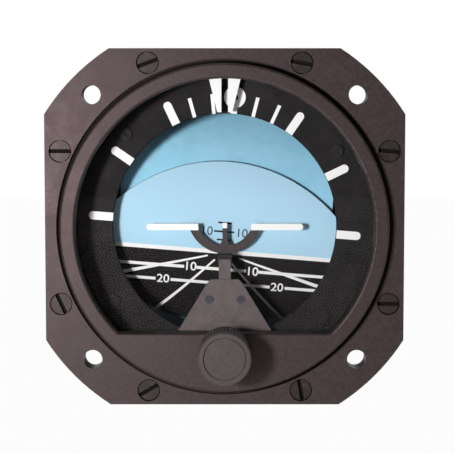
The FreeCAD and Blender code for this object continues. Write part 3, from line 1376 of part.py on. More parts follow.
lower = Piece("housing_lower", housing_frame)
cup(lower, -1, s.housing_split)
lower_holes = lower.sketch("XY_Plane", screw_bottom)
for u, v, angle in housing_places:
    lower_holes.circle(u, v, s.housing_screw_radius)
lower.pocket(lower_holes, s.housing_split - screw_bottom)
pin_hole = lower.sketch("YZ_Plane", -s.housing_radius - CUT_MARGIN).circle(0, 0, s.pivot_pin_radius)
lower.pocket(pin_hole, s.housing_radius * 2 + CUT_MARGIN * 2)

housing_screws = Piece("housing_screws", housing_frame)
shanks = housing_screws.sketch("XY_Plane", screw_bottom)
heads = housing_screws.sketch("XY_Plane", screw_top)
slots = housing_screws.sketch("XY_Plane", screw_top + s.housing_screw_head_height - s.bank_screw_slot_depth)
for u, v, angle in housing_places:
    shanks.circle(u, v, s.housing_screw_radius - s.press_clearance)
    heads.circle(u, v, s.housing_screw_head_radius - s.running_clearance)
    slots.slot(u, v, s.housing_screw_head_radius + CUT_MARGIN / 4, s.bank_screw_slot_width / 2, angle)
housing_screws.pad(shanks, s.housing_screw_length)
housing_screws.pad(heads, s.housing_screw_head_height)
housing_screws.pocket(slots, s.bank_screw_slot_depth)

x_pins(Piece("pitch_pivots", housing_frame), [
    (s.pitch_pin_inner, s.pitch_pin_outer, s.pivot_pin_radius),
    (s.housing_radius, s.pitch_pin_collar_end, s.pitch_pin_collar_radius)])

pinion = Piece("pitch_pinion", housing_frame)
pinion_start = -s.pitch_pin_collar_end - s.gear_thickness
pinion.pad(pinion.sketch("YZ_Plane", pinion_start).circle(0, 0, pinion_pitch + s.gear_module).circle(
    0, 0, s.pivot_pin_radius), s.gear_thickness)
gap = tooth_gap(pinion.sketch("YZ_Plane", pinion_start), pinion_pitch, s.gear_module, 0,
                s.gear_backlash, s.gear_root_gap, HALF_TURN)
pinion.polar(pinion.pocket(gap, s.gear_thickness), gap, int(s.pinion_teeth.value))

rotor_bearings = Piece("rotor_bearings", housing_frame)
for start in (boss_end, -bearing_seat):
    ring = rotor_bearings.sketch("XY_Plane", start).circle(0, 0, s.rotor_bearing_radius)
    ring.circle(0, 0, s.rotor_journal_radius + s.running_clearance)
    rotor_bearings.pad(ring, s.rotor_bearing_width)

erector = Piece("erection_unit", housing_frame)
erector.pad(erector.sketch("XY_Plane", -s.erector_bottom).box(
    -s.erector_half_width, s.erector_half_width, -s.erector_half_width, s.erector_half_width),
    s.erector_bottom - s.housing_half_height)
cavity = s.erector_bottom - s.erector_floor
erector.pocket(erector.sketch("XY_Plane", -cavity).circle(0, 0, s.erector_bore_radius),
               cavity - s.housing_half_height)
across = s.erector_half_width * 2 + CUT_MARGIN * 2
for role, pivot in (("YZ_Plane", s.side_vane_pivot), ("XZ_Plane", s.front_vane_pivot)):
    opening = erector.sketch(role, -s.erector_half_width - CUT_MARGIN)
    opening.circle(0, -pivot, s.vane_shaft_radius + s.running_clearance)
    opening.box(-s.erector_port_half_width, s.erector_port_half_width,
                -s.erector_port_bottom, -s.erector_port_top)
    erector.pocket(opening, across)

for label, role, pivot in (("side_vanes", "YZ_Plane", s.side_vane_pivot),
                           ("front_vanes", "XZ_Plane", s.front_vane_pivot)):
    vanes = Piece(label, housing_frame)
    vane_start = s.erector_half_width + s.vane_gap
    for start in (vane_start, -vane_start - s.vane_thickness):
        vanes.pad(vanes.sketch(role, start).box(
            -s.vane_half_width, s.vane_half_width, -s.vane_bottom, s.vane_rise - pivot), s.vane_thickness)
    vanes.pad(vanes.sketch(role, -vane_start).circle(0, -pivot, s.vane_shaft_radius), vane_start * 2)

# ---------------------------------------------------------------- rotor

rotor = Piece("gyro_rotor", housing_frame)
rim_face = s.rotor_half_height - s.rotor_chamfer
half_profile = [
    (s.rotor_shaft_radius, s.rotor_hub_half_height), (s.rotor_hub_radius, s.rotor_hub_half_height),
    (s.rotor_hub_radius, s.rotor_web_half_height), (s.rotor_rim_inner_radius, s.rotor_web_half_height),
    (s.rotor_rim_inner_radius, s.rotor_half_height), (rotor_radius - s.rotor_chamfer, s.rotor_half_height),
    (rotor_radius, rim_face)]
rotor.revolve(rotor.sketch("XZ_Plane").loop(
    half_profile + [(u, -v) for u, v in reversed(half_profile)]))
bucket = rotor.sketch("XY_Plane", -s.bucket_half_height).loop([
    (rotor_radius - s.bucket_depth, 0), (rotor_radius + CUT_MARGIN, 0),
    (rotor_radius + CUT_MARGIN, s.bucket_width)])
rotor.polar(rotor.pocket(bucket, s.bucket_half_height * 2), bucket, BUCKETS)

rotor_shaft = Piece("rotor_shaft", housing_frame)
half_profile = [(0, s.rotor_journal_end), (s.rotor_journal_radius, s.rotor_journal_end),
                (s.rotor_journal_radius, s.rotor_shaft_shoulder),
                (s.rotor_shaft_radius, s.rotor_shaft_shoulder)]
rotor_shaft.revolve(rotor_shaft.sketch("XZ_Plane").loop(
    half_profile + [(u, -v) for u, v in reversed(half_profile)]))

# ---------------------------------------------------------------- checks and export

doc.recompute()
failed = []
for item in doc.Objects:
    if "Invalid" in item.State or "Error" in item.State:
        owner = item.getParentGeoFeatureGroup()
        failed.append("%s in %s" % (item.Name, owner.Label if owner else "document"))
if failed:
    raise RuntimeError("failed: %s" % ", ".join(failed))
for cut in cuts:
    before = cut.BaseFeature.Shape.Volume
    if cut.Shape.Volume > before - 1e-4:
        raise RuntimeError("%s in %s removes nothing" % (cut.Name, cut.getParentGeoFeatureGroup().Label))
for piece in pieces:
    if piece.Shape.isNull() or not piece.Shape.isValid() or not piece.Shape.Solids:
        raise RuntimeError("%s has no valid solid" % piece.Label)

os.makedirs("parts", exist_ok=True)
for piece in pieces:
    piece.Shape.exportStep("parts/%s.step" % piece.Label)
    box = piece.Shape.BoundBox
    print("%-26s %2d solids %10.2f mm3  y %7.2f .. %7.2f" % (
        piece.Label, len(piece.Shape.Solids), piece.Shape.Volume, box.YMin, box.YMax))
print(len(pieces), "sub-parts")
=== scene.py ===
import json
import math

import bmesh
import bpy
from mathutils import Matrix, Vector


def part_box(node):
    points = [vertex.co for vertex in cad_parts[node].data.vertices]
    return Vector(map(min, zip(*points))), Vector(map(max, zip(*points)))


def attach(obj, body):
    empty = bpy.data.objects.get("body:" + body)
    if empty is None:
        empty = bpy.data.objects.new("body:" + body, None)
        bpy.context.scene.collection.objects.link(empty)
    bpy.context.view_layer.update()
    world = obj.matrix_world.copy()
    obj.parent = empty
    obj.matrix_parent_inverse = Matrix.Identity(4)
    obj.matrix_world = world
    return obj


# Looks for the attitude indicator. Metres, in the frame of the CAD part:
# X right, Z up, +Y towards the rear of the case.

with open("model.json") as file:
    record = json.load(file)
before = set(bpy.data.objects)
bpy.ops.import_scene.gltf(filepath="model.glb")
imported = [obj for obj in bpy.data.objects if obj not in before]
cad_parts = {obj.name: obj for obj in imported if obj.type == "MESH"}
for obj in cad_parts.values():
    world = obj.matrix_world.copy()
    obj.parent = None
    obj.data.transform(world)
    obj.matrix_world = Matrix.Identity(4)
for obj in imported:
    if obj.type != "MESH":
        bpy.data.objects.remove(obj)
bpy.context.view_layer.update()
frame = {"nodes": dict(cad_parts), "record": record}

MM = 0.001
ROLL = math.radians(4.5)
GYRO_PITCH = math.radians(21.2)
HORIZON_RATIO = 0.4
BAR_TILT = GYRO_PITCH * HORIZON_RATIO
HORIZON_PIVOT = Vector((0, 52.3, 0)) * MM
SHELL_RADIUS = 40 * MM
PAINT_THICKNESS = 0.03 * MM
DIAL_AXIS = Vector((0, 0, 0))
KNOB_AXIS = Vector((0, 0, -29)) * MM
STEM_RIVET = Vector((0, 0, -8.65)) * MM
ACROSS = Vector((1, 0, 0))
REARWARDS = Vector((0, 1, 0))
UPWARDS = Vector((0, 0, 1))

# In millimetres: the radii, depths and heights at which the finishes change.
WINDOW_RADIUS = 35.25
GROOVE_INNER = 38.8
GROOVE_OUTER = 39.9
KNOB_FACE_RADIUS = 5.85
RIVET_HEAD_RADIUS = 1.0
RIVET_ACROSS = 3.8
RIVET_DOWN = 17.6
SLIDE_REAR = 6.9
SYMBOL_FRONT = 9.6
BLOCK_TOP = -6.9
BLOCK_BOTTOM = -9.4
POST_END = 17.1
POST_REACH = 20.0
WHITE_LINE_TOP = -0.44
WHITE_LINE_BOTTOM = -1.44

# In millimetres: the bank marks on the ring, and the lines and figures round the horizon bar.
RING_HOLE_EDGE = 27.05
FINE_MARK_TOP = 31.8
BROAD_MARK_TOP = 32.9
DIVE_10 = -5.4
DIVE_20 = -9.2
CLIMB_FIGURES_UP = 4.0
GROUND_FIGURE_SIZE = 2.28
SKY_FIGURE_SIZE = 2.2

rolled = Matrix.Rotation(ROLL, 4, "Y")
upright = Matrix.Rotation(math.radians(90), 4, "X")
bar_place = rolled @ Matrix.Translation(HORIZON_PIVOT) @ Matrix.Rotation(BAR_TILT, 4, "X")


# ---------------------------------------------------------------- finishes

class Value:
    """An output of a node. Arithmetic on it adds Math nodes to the same finish."""

    def __init__(self, finish, socket):
        self.finish = finish
        self.socket = socket

    def math(self, operation, *others):
        inputs = dict(enumerate((self,) + others))
        return self.finish.node("ShaderNodeMath", {"operation": operation}, inputs)

    def __add__(self, other):
        return self.math("ADD", other)

    __radd__ = __add__

    def __mul__(self, other):
        return self.math("MULTIPLY", other)

    __rmul__ = __mul__

    def __sub__(self, other):
        return self.math("SUBTRACT", other)

    def __rsub__(self, other):
        return self.finish.node("ShaderNodeMath", {"operation": "SUBTRACT"}, {0: other, 1: self})

    def __truediv__(self, other):
        return self.math("DIVIDE", other)

    def step(self, start, end):
        """0 below start and 1 above end, smooth between them."""
        return self.finish.node(
            "ShaderNodeMapRange", {"interpolation_type": "SMOOTHSTEP"},
            {"Value": self, "From Min": start, "From Max": end})


class Finish:
    """A procedural material, or the world, made node by node."""

    def __init__(self, name, shelf=bpy.data.materials, coordinates="Object"):
        self.owner = shelf.new(name)
        self.owner.use_nodes = True
        self.tree = self.owner.node_tree
        self.tree.nodes.clear()
        self.place = self.node("ShaderNodeTexCoord", output=coordinates)

    def node(self, kind, settings=None, inputs=None, output=0):
        """Adds a node: its settings first, then the values or links of its sockets."""
        made = self.tree.nodes.new(kind)
        for name, setting in (settings or {}).items():
            setattr(made, name, setting)
        for name, value in (inputs or {}).items():
            if isinstance(value, Value):
                self.tree.links.new(value.socket, made.inputs[name])
            else:
                made.inputs[name].default_value = value
        return Value(self, made.outputs[output]) if len(made.outputs) else made

    def grain(self, size, detail=2, seed=0, stretch=(1, 1, 1), roughness=0.5):
        """Noise from 0 to 1 whose features are about this many millimetres across."""
        scaled = self.node("ShaderNodeMapping", None, {
            "Vector": self.place, "Location": (seed, seed, seed), "Scale": stretch})
        return self.node("ShaderNodeTexNoise", None, {
            "Vector": scaled, "Scale": 0.5 / (size * MM), "Detail": detail,
            "Roughness": roughness})

    def blend(self, mask, first, second):
        """A colour that goes from the first to the second as the mask goes from 0 to 1."""
        first, second = [c if isinstance(c, Value) else (*c, 1) for c in (first, second)]
        return self.node("ShaderNodeMix", {"data_type": "RGBA"}, {0: mask, 6: first, 7: second}, 2)

    def along(self, direction, origin):
        """Distance from a point along a direction, in millimetres."""
        dot = self.node("ShaderNodeVectorMath", {"operation": "DOT_PRODUCT"}, {
            0: self.place, 1: tuple(direction)}, "Value")
        return (dot - direction.dot(origin)) / MM

    def depth(self):
        """Millimetres behind the front of the flange."""
        return self.along(REARWARDS, DIAL_AXIS)

    def reach(self, centre):
        """Distance from an axis along Y through a point, in millimetres."""
        across = self.along(ACROSS, centre)
        up = self.along(UPWARDS, centre)
        return (across * across + up * up).math("SQRT")

    def bump(self, height, depth):
        """A normal from a height of 0 to 1 that stands this many millimetres deep."""
        return self.node("ShaderNodeBump", None, {"Height": height, "Distance": depth * MM})

    def path(self, *kinds):
        """1 on a ray of any of these kinds."""
        found = [self.node("ShaderNodeLightPath", None, None, kind) for kind in kinds]
        either = found[0]
        for other in found[1:]:
            either = either.math("MAXIMUM", other)
        return either

    def surface(self, sockets):
        """The Principled shader, whose constants sit on its own sockets."""
        return self.node("ShaderNodeBsdfPrincipled", None, sockets)

    def done(self, shader):
        """The finished material."""
        self.node("ShaderNodeOutputMaterial", None, {"Surface": shader})
        return self.owner


def paint(name, light, dark, size, rough, tooth, depth, sheen=0.3):
    """Sprayed paint: two close shades in clouds and flecks, with a fine tooth."""
    finish = Finish(name)
    clouds = finish.grain(size, 3)
    flecks = finish.grain(size / 5, 2, 3)
    shade = (clouds * 0.6 + flecks * 0.4).step(0.32, 0.68)
    colour = finish.blend(shade, dark, light)
    roughness = rough + (clouds - 0.5) * 0.2 + (flecks - 0.5) * 0.12
    normal = finish.bump(finish.grain(tooth, 2, 7), depth)
    return finish.done(finish.surface({
        "Base Color": colour, "Roughness": roughness, "Normal": normal,
        "Specular IOR Level": sheen}))


def metal(name, light, dark, rough, stretch, line, depth):
    """Bare metal with fine tool marks drawn out along one direction."""
    finish = Finish(name)
    marks = finish.grain(line, 3, 1, stretch)
    clouds = finish.grain(6, 2, 5)
    colour = finish.blend((marks * 0.5 + clouds * 0.5).step(0.3, 0.7), dark, light)
    roughness = rough + (marks - 0.5) * 0.16 + (clouds - 0.5) * 0.14
    return finish.done(finish.surface({
        "Base Color": colour, "Metallic": 1.0, "Roughness": roughness,
        "Normal": finish.bump(marks, depth)}))


def aluminium_finish():
    """Bare aluminium; the post ends in the sky plate are painted with it."""
    finish = Finish("aluminium_finish")
    marks = finish.grain(0.25, 3, 1, (1, 5, 1))
    clouds = finish.grain(6, 2, 5)
    bare = finish.blend((marks * 0.5 + clouds * 0.5).step(0.3, 0.7), (0.60, 0.60, 0.62),
                        (0.74, 0.74, 0.75))
    front = 1 - finish.depth().step(POST_END - 0.1, POST_END + 0.1)
    painted = front * (1 - finish.reach(DIAL_AXIS).step(POST_REACH, POST_REACH + 0.5))
    return finish.done(finish.surface({
        "Base Color": finish.blend(painted, bare, (0.33, 0.66, 0.86)), "Metallic": 1 - painted,
        "Roughness": 0.42 + (marks - 0.5) * 0.16 + (clouds - 0.5) * 0.14 + painted * 0.2,
        "Normal": finish.bump(marks, 0.01)}))


def bezel_finish():
    """Dark warm grey paint, with painted shade down in the round groove and on the window's inner wall.
    """
    finish = Finish("bezel_finish")
    clouds = finish.grain(2.2, 3)
    flecks = finish.grain(0.45, 3, 3)
    hue = finish.grain(1.1, 2, 11)
    brown = finish.blend(flecks.step(0.3, 0.7), (0.022, 0.016, 0.015), (0.034, 0.026, 0.024))
    mauve = finish.blend(flecks.step(0.3, 0.7), (0.024, 0.017, 0.017), (0.038, 0.027, 0.027))
    shade = finish.blend((clouds * 0.5 + hue * 0.5).step(0.4, 0.6), brown, mauve)
    reach = finish.reach(DIAL_AXIS)
    depth = finish.depth()
    # Painted shade: the round groove is darkened, most at its inner wall and less towards its outer
    # edge.
    inner_wall = reach.step(GROOVE_INNER - 0.25, GROOVE_INNER + 0.05)
    outer_wall = 1 - reach.step(GROOVE_OUTER - 0.02, GROOVE_OUTER + 0.08)
    thinning = 1 - reach.step(GROOVE_OUTER - 0.6, GROOVE_OUTER) * 0.6
    groove_painted_shade = inner_wall * thinning * outer_wall * depth.step(-0.6, 0.3)
    # Painted shade on the inner wall of the window, from a little behind its front edge.
    window_wall_painted_shade = (1 - reach.step(WINDOW_RADIUS - 0.1, WINDOW_RADIUS + 0.05)) * depth.step(-2.6, -1.6) * 0.35
    colour = finish.blend(groove_painted_shade * 0.97 + window_wall_painted_shade, shade, (0.003, 0.0025, 0.002))
    roughness = 0.48 + (clouds - 0.5) * 0.2 + (flecks - 0.5) * 0.15 + groove_painted_shade * 0.5
    height = finish.grain(0.22, 2, 7) * 0.7 + flecks * 0.3
    return finish.done(finish.surface({
        "Base Color": colour, "Roughness": roughness,
        "Normal": finish.bump(height, 0.018), "Specular IOR Level": 0.4,
        "Specular Tint": (1.0, 0.74, 0.76, 1)}))


def knob_finish():
    """Black anodising over turned rings; the fluted skirt is darker in patches."""
    finish = Finish("knob_finish")
    reach = finish.reach(KNOB_AXIS)
    rings = (reach * 24 + finish.grain(0.8, 2) * 1.4).math("SINE") * 0.5 + 0.5
    flecks = finish.grain(0.3, 3, 2)
    shade = (rings * 0.35 + flecks * 0.65).step(0.25, 0.75)
    worn = finish.blend(shade, (0.044, 0.034, 0.034), (0.072, 0.058, 0.056))
    skirt = reach.step(KNOB_FACE_RADIUS, KNOB_FACE_RADIUS + 0.25)
    colour = finish.blend(skirt * finish.grain(0.5, 2, 9).step(0.45, 0.7) * 0.5, worn,
                          (0.014, 0.012, 0.012))
    return finish.done(finish.surface({
        "Base Color": colour, "Roughness": 0.4 + (flecks - 0.5) * 0.2,
        "Normal": finish.bump(rings * (1 - skirt), 0.006), "Specular IOR Level": 0.35,
        "Specular Tint": (1.0, 0.86, 0.85, 1)}))


def pedestal_finish():
    """Grey paint, with blued rivet heads, a darker symbol and painted shade on the block behind its
    stem.
    """
    finish = Finish("pedestal_finish")
    clouds = finish.grain(1.3, 3)
    flecks = finish.grain(0.3, 2, 3)
    shade = (clouds * 0.5 + flecks * 0.5).step(0.32, 0.68)
    colour = finish.blend(shade, (0.092, 0.074, 0.076), (0.135, 0.104, 0.104))
    for hand in (-1, 1):
        rivet = Vector((RIVET_ACROSS * hand, 0, -RIVET_DOWN)) * MM
        head = 1 - finish.reach(rivet).step(RIVET_HEAD_RADIUS - 0.1, RIVET_HEAD_RADIUS + 0.02)
        colour = finish.blend(head * 0.8, colour, (0.030, 0.034, 0.050))
    depth = finish.depth()
    height = finish.along(UPWARDS, DIAL_AXIS)
    symbol = depth.step(SYMBOL_FRONT - 0.1, SYMBOL_FRONT - 0.05)
    colour = finish.blend(symbol * 0.75, colour, (0.030, 0.022, 0.021))
    # Painted shade: the front of the block behind the stem, between the arc and the stem's end, is
    # painted near-black.
    under_arc = 1 - height.step(BLOCK_TOP - 0.02, BLOCK_TOP + 0.02)
    over_end = height.step(BLOCK_BOTTOM - 0.1, BLOCK_BOTTOM)
    block_painted_shade = depth.step(SLIDE_REAR - 0.04, SLIDE_REAR - 0.02) * under_arc * over_end
    colour = finish.blend(block_painted_shade * 0.95, colour, (0.006, 0.006, 0.007))
    return finish.done(finish.surface({
        "Base Color": colour, "Roughness": 0.6 + (clouds - 0.5) * 0.2 + (flecks - 0.5) * 0.12,
        "Normal": finish.bump(flecks, 0.008), "Specular IOR Level": 0.2}))


def white_finish():
    """White paint on the marks and the symbol; the rivet of its stem is left grey."""
    finish = Finish("white_finish")
    clouds = finish.grain(1.8, 3)
    flecks = finish.grain(0.36, 2, 3)
    colour = finish.blend(clouds * 0.6 + flecks * 0.4, (0.86, 0.85, 0.84), (0.94, 0.93, 0.92))
    front = 1 - finish.depth().step(SLIDE_REAR - 0.5, SLIDE_REAR - 0.3)
    rivet = front * (1 - finish.reach(STEM_RIVET).step(0.5, 0.6))
    colour = finish.blend(rivet, colour, (0.11, 0.10, 0.10))
    return finish.done(finish.surface({
        "Base Color": colour, "Roughness": 0.55 + (clouds - 0.5) * 0.2,
        "Normal": finish.bump(flecks, 0.012), "Specular IOR Level": 0.3}))


def horizon_finish():
    """The horizon bar's paint: blue sky, a white line, and black ground below it."""
    finish = Finish("horizon_finish")
    turn = bar_place.to_3x3()
    centre = bar_place.translation
    out = finish.along(turn @ -REARWARDS, centre)
    up = finish.along(turn @ UPWARDS, centre)
    height = up.math("ARCTAN2", out) * (SHELL_RADIUS / MM)
    clouds = finish.grain(7, 3)
    flecks = finish.grain(0.35, 2, 4)
    wobble = (finish.grain(0.5, 2, 6) - 0.5) * 0.08
    sky = finish.blend(clouds, (0.40, 0.64, 0.80), (0.46, 0.70, 0.86))
    ground = finish.blend(flecks, (0.010, 0.009, 0.009), (0.018, 0.016, 0.017))
    white = finish.blend(flecks, (0.84, 0.83, 0.82), (0.92, 0.91, 0.90))
    above = (height + wobble).step(WHITE_LINE_TOP - 0.04, WHITE_LINE_TOP + 0.04)
    below = 1 - (height + wobble).step(WHITE_LINE_BOTTOM - 0.04, WHITE_LINE_BOTTOM + 0.04)
    colour = finish.blend(above, finish.blend(below, white, ground), sky)
    return finish.done(finish.surface({
        "Base Color": colour, "Roughness": 0.6 + (flecks - 0.5) * 0.2,
        "Normal": finish.bump(flecks, 0.005), "Specular IOR Level": 0.05}))


def glass_finish():
    """Coated window glass. Light reaches the dial through it as if it weren't there."""
    finish = Finish("glass_finish")
    smears = finish.grain(14, 3, 2)
    clear = finish.surface({
        "Base Color": finish.blend(smears, (0.985, 0.99, 0.99), (1, 1, 1)),
        "Roughness": smears.step(0.55, 0.9) * 0.012, "Transmission Weight": 1.0, "IOR": 1.16})
    open_air = finish.node("ShaderNodeBsdfTransparent")
    lighting = finish.path("Is Shadow Ray", "Is Diffuse Ray", "Is Glossy Ray")
    return finish.done(finish.node("ShaderNodeMixShader", None, {0: lighting, 1: clear, 2: open_air}))


def black_steel_finish():
    """Blackened steel, rubbed brown in places, with painted shade in the slots of the bezel screws."""
    finish = Finish("black_steel_finish")
    clouds = finish.grain(1.2, 3)
    scratches = finish.grain(0.25, 2, 4, (1, 1, 5))
    worn = (clouds * 0.6 + scratches * 0.4).step(0.5, 0.8)
    dial = 1 - finish.reach(DIAL_AXIS).step(WINDOW_RADIUS - 1.25, WINDOW_RADIUS - 0.25)
    # Painted shade: the slots of the bezel screws are painted near-black and made rough.
    slot = finish.depth().step(0.5, 0.8) * (1 - dial)
    colour = finish.blend(worn, (0.016, 0.013, 0.012), (0.070, 0.052, 0.042))
    colour = finish.blend(dial * 0.8, colour, (0.014, 0.014, 0.015))
    colour = finish.blend(slot * 0.95, colour, (0.002, 0.002, 0.002))
    return finish.done(finish.surface({
        "Base Color": colour, "Metallic": worn * 0.3 * (1 - slot) * (1 - dial),
        "Roughness": 0.42 + (clouds - 0.5) * 0.2 + slot * 0.5 + dial * 0.35,
        "Normal": finish.bump(scratches, 0.012), "Specular IOR Level": 0.3,
        "Specular Tint": (1.0, 0.82, 0.78, 1)}))


def felt_finish():
    """Pressed felt in the air filter."""
    finish = Finish("felt_finish")
    fibres = finish.grain(0.25, 4, 1, (1, 3, 1), 0.7)
    patches = finish.grain(3, 2, 5)
    colour = finish.blend(fibres * 0.6 + patches * 0.4, (0.50, 0.48, 0.43), (0.78, 0.76, 0.70))
    return finish.done(finish.surface({
        "Base Color": colour, "Roughness": 0.95, "Sheen Weight": 0.3,
        "Normal": finish.bump(fibres, 0.12)}))


finishes = {
    "bezel_paint": bezel_finish(),
    "case_paint": paint("case_finish", (0.024, 0.023, 0.024), (0.015, 0.015, 0.016),
                        8, 0.42, 0.9, 0.03, 0.5),
    "ring_paint": paint("ring_finish", (0.025, 0.023, 0.023), (0.015, 0.014, 0.015),
                        2.4, 0.7, 0.3, 0.006, 0.06),
    "dial_black": paint("dial_finish", (0.015, 0.014, 0.015), (0.009, 0.009, 0.010),
                        2.4, 0.7, 0.3, 0.008, 0.06),
    "pedestal_paint": pedestal_finish(),
    "white_paint": white_finish(),
    "sky_paint": paint("sky_finish", (0.36, 0.70, 0.90), (0.30, 0.62, 0.81),
                       6, 0.62, 0.35, 0.015, 0.2),
    "horizon_paint": horizon_finish(),
    "knob_black": knob_finish(),
    "black_steel": black_steel_finish(),
    "steel_screws": metal("zinc_finish", (0.62, 0.61, 0.58), (0.45, 0.45, 0.44),
                          0.34, (1, 4, 1), 0.3, 0.008),
    "steel_plain": metal("ground_steel_finish", (0.58, 0.58, 0.59), (0.46, 0.46, 0.47),
                         0.3, (1, 6, 1), 0.15, 0.005),
    "bearing_steel": metal("bearing_finish", (0.74, 0.74, 0.75), (0.64, 0.64, 0.66),
                           0.16, (1, 2, 1), 0.1, 0.002),
    "aluminium_plain": aluminium_finish(),
    "brass_plain": metal("brass_finish", (0.68, 0.50, 0.22), (0.52, 0.36, 0.14),
                         0.36, (1, 5, 1), 0.2, 0.01),
    "clear_glass": glass_finish(),
    "gasket_rubber": paint("rubber_finish", (0.030, 0.029, 0.028), (0.020, 0.019, 0.019),
                           2, 0.75, 0.4, 0.04, 0.3),
    "filter_felt": felt_finish(),
}

for part in frame["record"]["subparts"]:
    mesh = frame["nodes"][part["node"]].data
    mesh.materials.clear()
    mesh.materials.append(finishes[part["material_slot"]])


# ---------------------------------------------------------------- painted marks

def strip(bm, start, end, first_width, last_width, cuts=0, round_end=False):
    """A flat tapered stroke between two points, in millimetres, cut across as many times as asked so
    that it can bend.
    """
    start, end = Vector((*start, 0)), Vector((*end, 0))
    side = (end - start).normalized().cross(UPWARDS)
    corners = [start + side * first_width / 2, end + side * last_width / 2,
               end - side * last_width / 2, start - side * first_width / 2]
    verts = [bm.verts.new(corner * MM) for corner in corners]
    face = bm.faces.new(verts)
    long_edges = [face.edges[0], face.edges[2]]
    if cuts:
        bmesh.ops.subdivide_edges(bm, edges=long_edges, cuts=cuts, use_grid_fill=True)
    if round_end:
        bmesh.ops.bevel(bm, geom=verts[1:3], offset=last_width * 0.48 * MM, segments=6,
                        profile=0.5, affect="VERTICES", material=-1)


def thicken(bm):
    """Gives flat marks the thickness of a coat of paint, with their faces outwards."""
    bmesh.ops.remove_doubles(bm, verts=bm.verts, dist=0.0005 * MM)
    bmesh.ops.recalc_face_normals(bm, faces=bm.faces)
    bmesh.ops.solidify(bm, geom=bm.faces, thickness=PAINT_THICKNESS)
    low = min(vert.co.z for vert in bm.verts)
    bmesh.ops.translate(bm, verts=bm.verts, vec=(0, 0, -low - PAINT_THICKNESS * 0.2))


def numerals(bm, text, centre, size, weight):
    """Figures of a given height about a centre, in millimetres."""
    curve = bpy.data.curves.new("figures_" + text, "FONT")
    curve.body = text
    curve.size = size * MM / 0.72
    curve.align_x = "CENTER"
    curve.align_y = "CENTER"
    curve.offset = weight * MM
    curve.extrude = PAINT_THICKNESS / 2
    curve.resolution_u = 5
    holder = bpy.data.objects.new(curve.name, curve)
    bpy.context.scene.collection.objects.link(holder)
    mesh = bpy.data.meshes.new_from_object(holder)
    mesh.transform(Matrix.Translation((centre[0] * MM, centre[1] * MM, PAINT_THICKNESS * 0.3)))
    bm.from_mesh(mesh)
    bpy.data.objects.remove(holder)
    bpy.data.curves.remove(curve)
    bpy.data.meshes.remove(mesh)


def on_shell(bm):
    """Bends flat marks round the horizon bar: across is X, and up follows the curve."""
    for vert in bm.verts:
        across, up, lift = vert.co
        angle, radius = up / SHELL_RADIUS, SHELL_RADIUS + lift
        vert.co = bar_place @ Vector((across, -radius * math.cos(angle), radius * math.sin(angle)))


def on_ring(bm):
    """Stands flat marks on the front of the bank ring."""
    front = Matrix.Translation((0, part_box("bank_ring")[0].y, 0))
    bmesh.ops.transform(bm, matrix=rolled @ front @ upright, verts=bm.verts)


def piece(name, bm, body, slot):
    """A finished piece that rides on a body and wears one of the finishes."""
    bmesh.ops.triangulate(bm, faces=[face for face in bm.faces if len(face.verts) > 4])
    mesh = bpy.data.meshes.new(name)
    bm.to_mesh(mesh)
    bm.free()
    made = bpy.data.objects.new(name, mesh)
    bpy.context.scene.collection.objects.link(made)
    mesh.materials.append(finishes[slot])
    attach(made, body)
    return made


def ring_mark(name, bm):
    """White paint on the bank ring."""
    thicken(bm)
    on_ring(bm)
    piece(name, bm, "roll_gimbal", "white_paint")


def bar_mark(name, bm, slot):
    """Marks on the horizon bar, which are flat until here."""
    on_shell(bm)
    piece(name, bm, "horizon_bar", slot)


# The bank scale: fine marks at 10 and 20 degrees, and broad ones at 30, 60 and 90.
bm = bmesh.new()
for degrees, width, top in ((10, 0.85, FINE_MARK_TOP), (20, 0.85, FINE_MARK_TOP),
                            (30, 2.0, BROAD_MARK_TOP), (60, 2.0, BROAD_MARK_TOP),
                            (90, 2.0, BROAD_MARK_TOP)):
    for hand in (-1, 1):
        angle = math.radians(degrees * hand)
        toward = Vector((math.sin(angle), math.cos(angle)))
        strip(bm, toward * RING_HOLE_EDGE, toward * top, width, width, round_end=top == BROAD_MARK_TOP)
ring_mark("bank_scale", bm)

# The ring at zero bank, on its short stem.
bm = bmesh.new()
bmesh.ops.create_circle(bm, cap_ends=True, segments=48, radius=2.6 * MM)
bmesh.ops.inset_region(bm, faces=bm.faces[:], thickness=1.8 * MM, use_boundary=True,
                       use_even_offset=True)
bmesh.ops.delete(bm, geom=[face for face in bm.faces if len(face.verts) > 4], context="FACES")
bmesh.ops.translate(bm, verts=bm.verts, vec=(0, 31 * MM, 0))
ring_mark("zero_ring", bm)

bm = bmesh.new()
strip(bm, (0, RING_HOLE_EDGE), (0, 28.6), 1.6, 1.6)
ring_mark("zero_stem", bm)

# Ground lines on the horizon bar: dives of 10 and 20 degrees, with gaps for their figures.
bm = bmesh.new()
for hand in (-1, 1):
    for start, end, up in ((0, 6.1, DIVE_10), (9.15, 25.8, DIVE_10),
                           (0, 12.25, DIVE_20), (15.95, 24.4, DIVE_20)):
        strip(bm, (start * hand, up), (end * hand, up), 0.78, 0.78)
thicken(bm)
bar_mark("dive_lines", bm, "white_paint")

# Lines that run to one point on the horizon, and stop short of it. Their far ends are wider.
VANISHING = Vector((0, -1.05))
bm = bmesh.new()
for end_x, end_up, clear in ((-24.6, -8.15, 3.7), (-16.9, -19.6, 2.6),
                             (24.9, -8.25, 4.4), (17.2, -19.6, 3.6)):
    end = Vector((end_x, end_up))
    start = VANISHING + (end - VANISHING).normalized() * clear
    strip(bm, start, end, 0.42, 0.92, cuts=15)
thicken(bm)
bar_mark("ground_lines", bm, "white_paint")

bm = bmesh.new()
for centre, text in (((-7.65, -5.3), "10"), ((7.6, -5.45), "10"),
                     ((-14.1, -9.15), "20"), ((14.05, -9.2), "20")):
    numerals(bm, text, centre, GROUND_FIGURE_SIZE, 0.045)
bar_mark("ground_figures", bm, "white_paint")

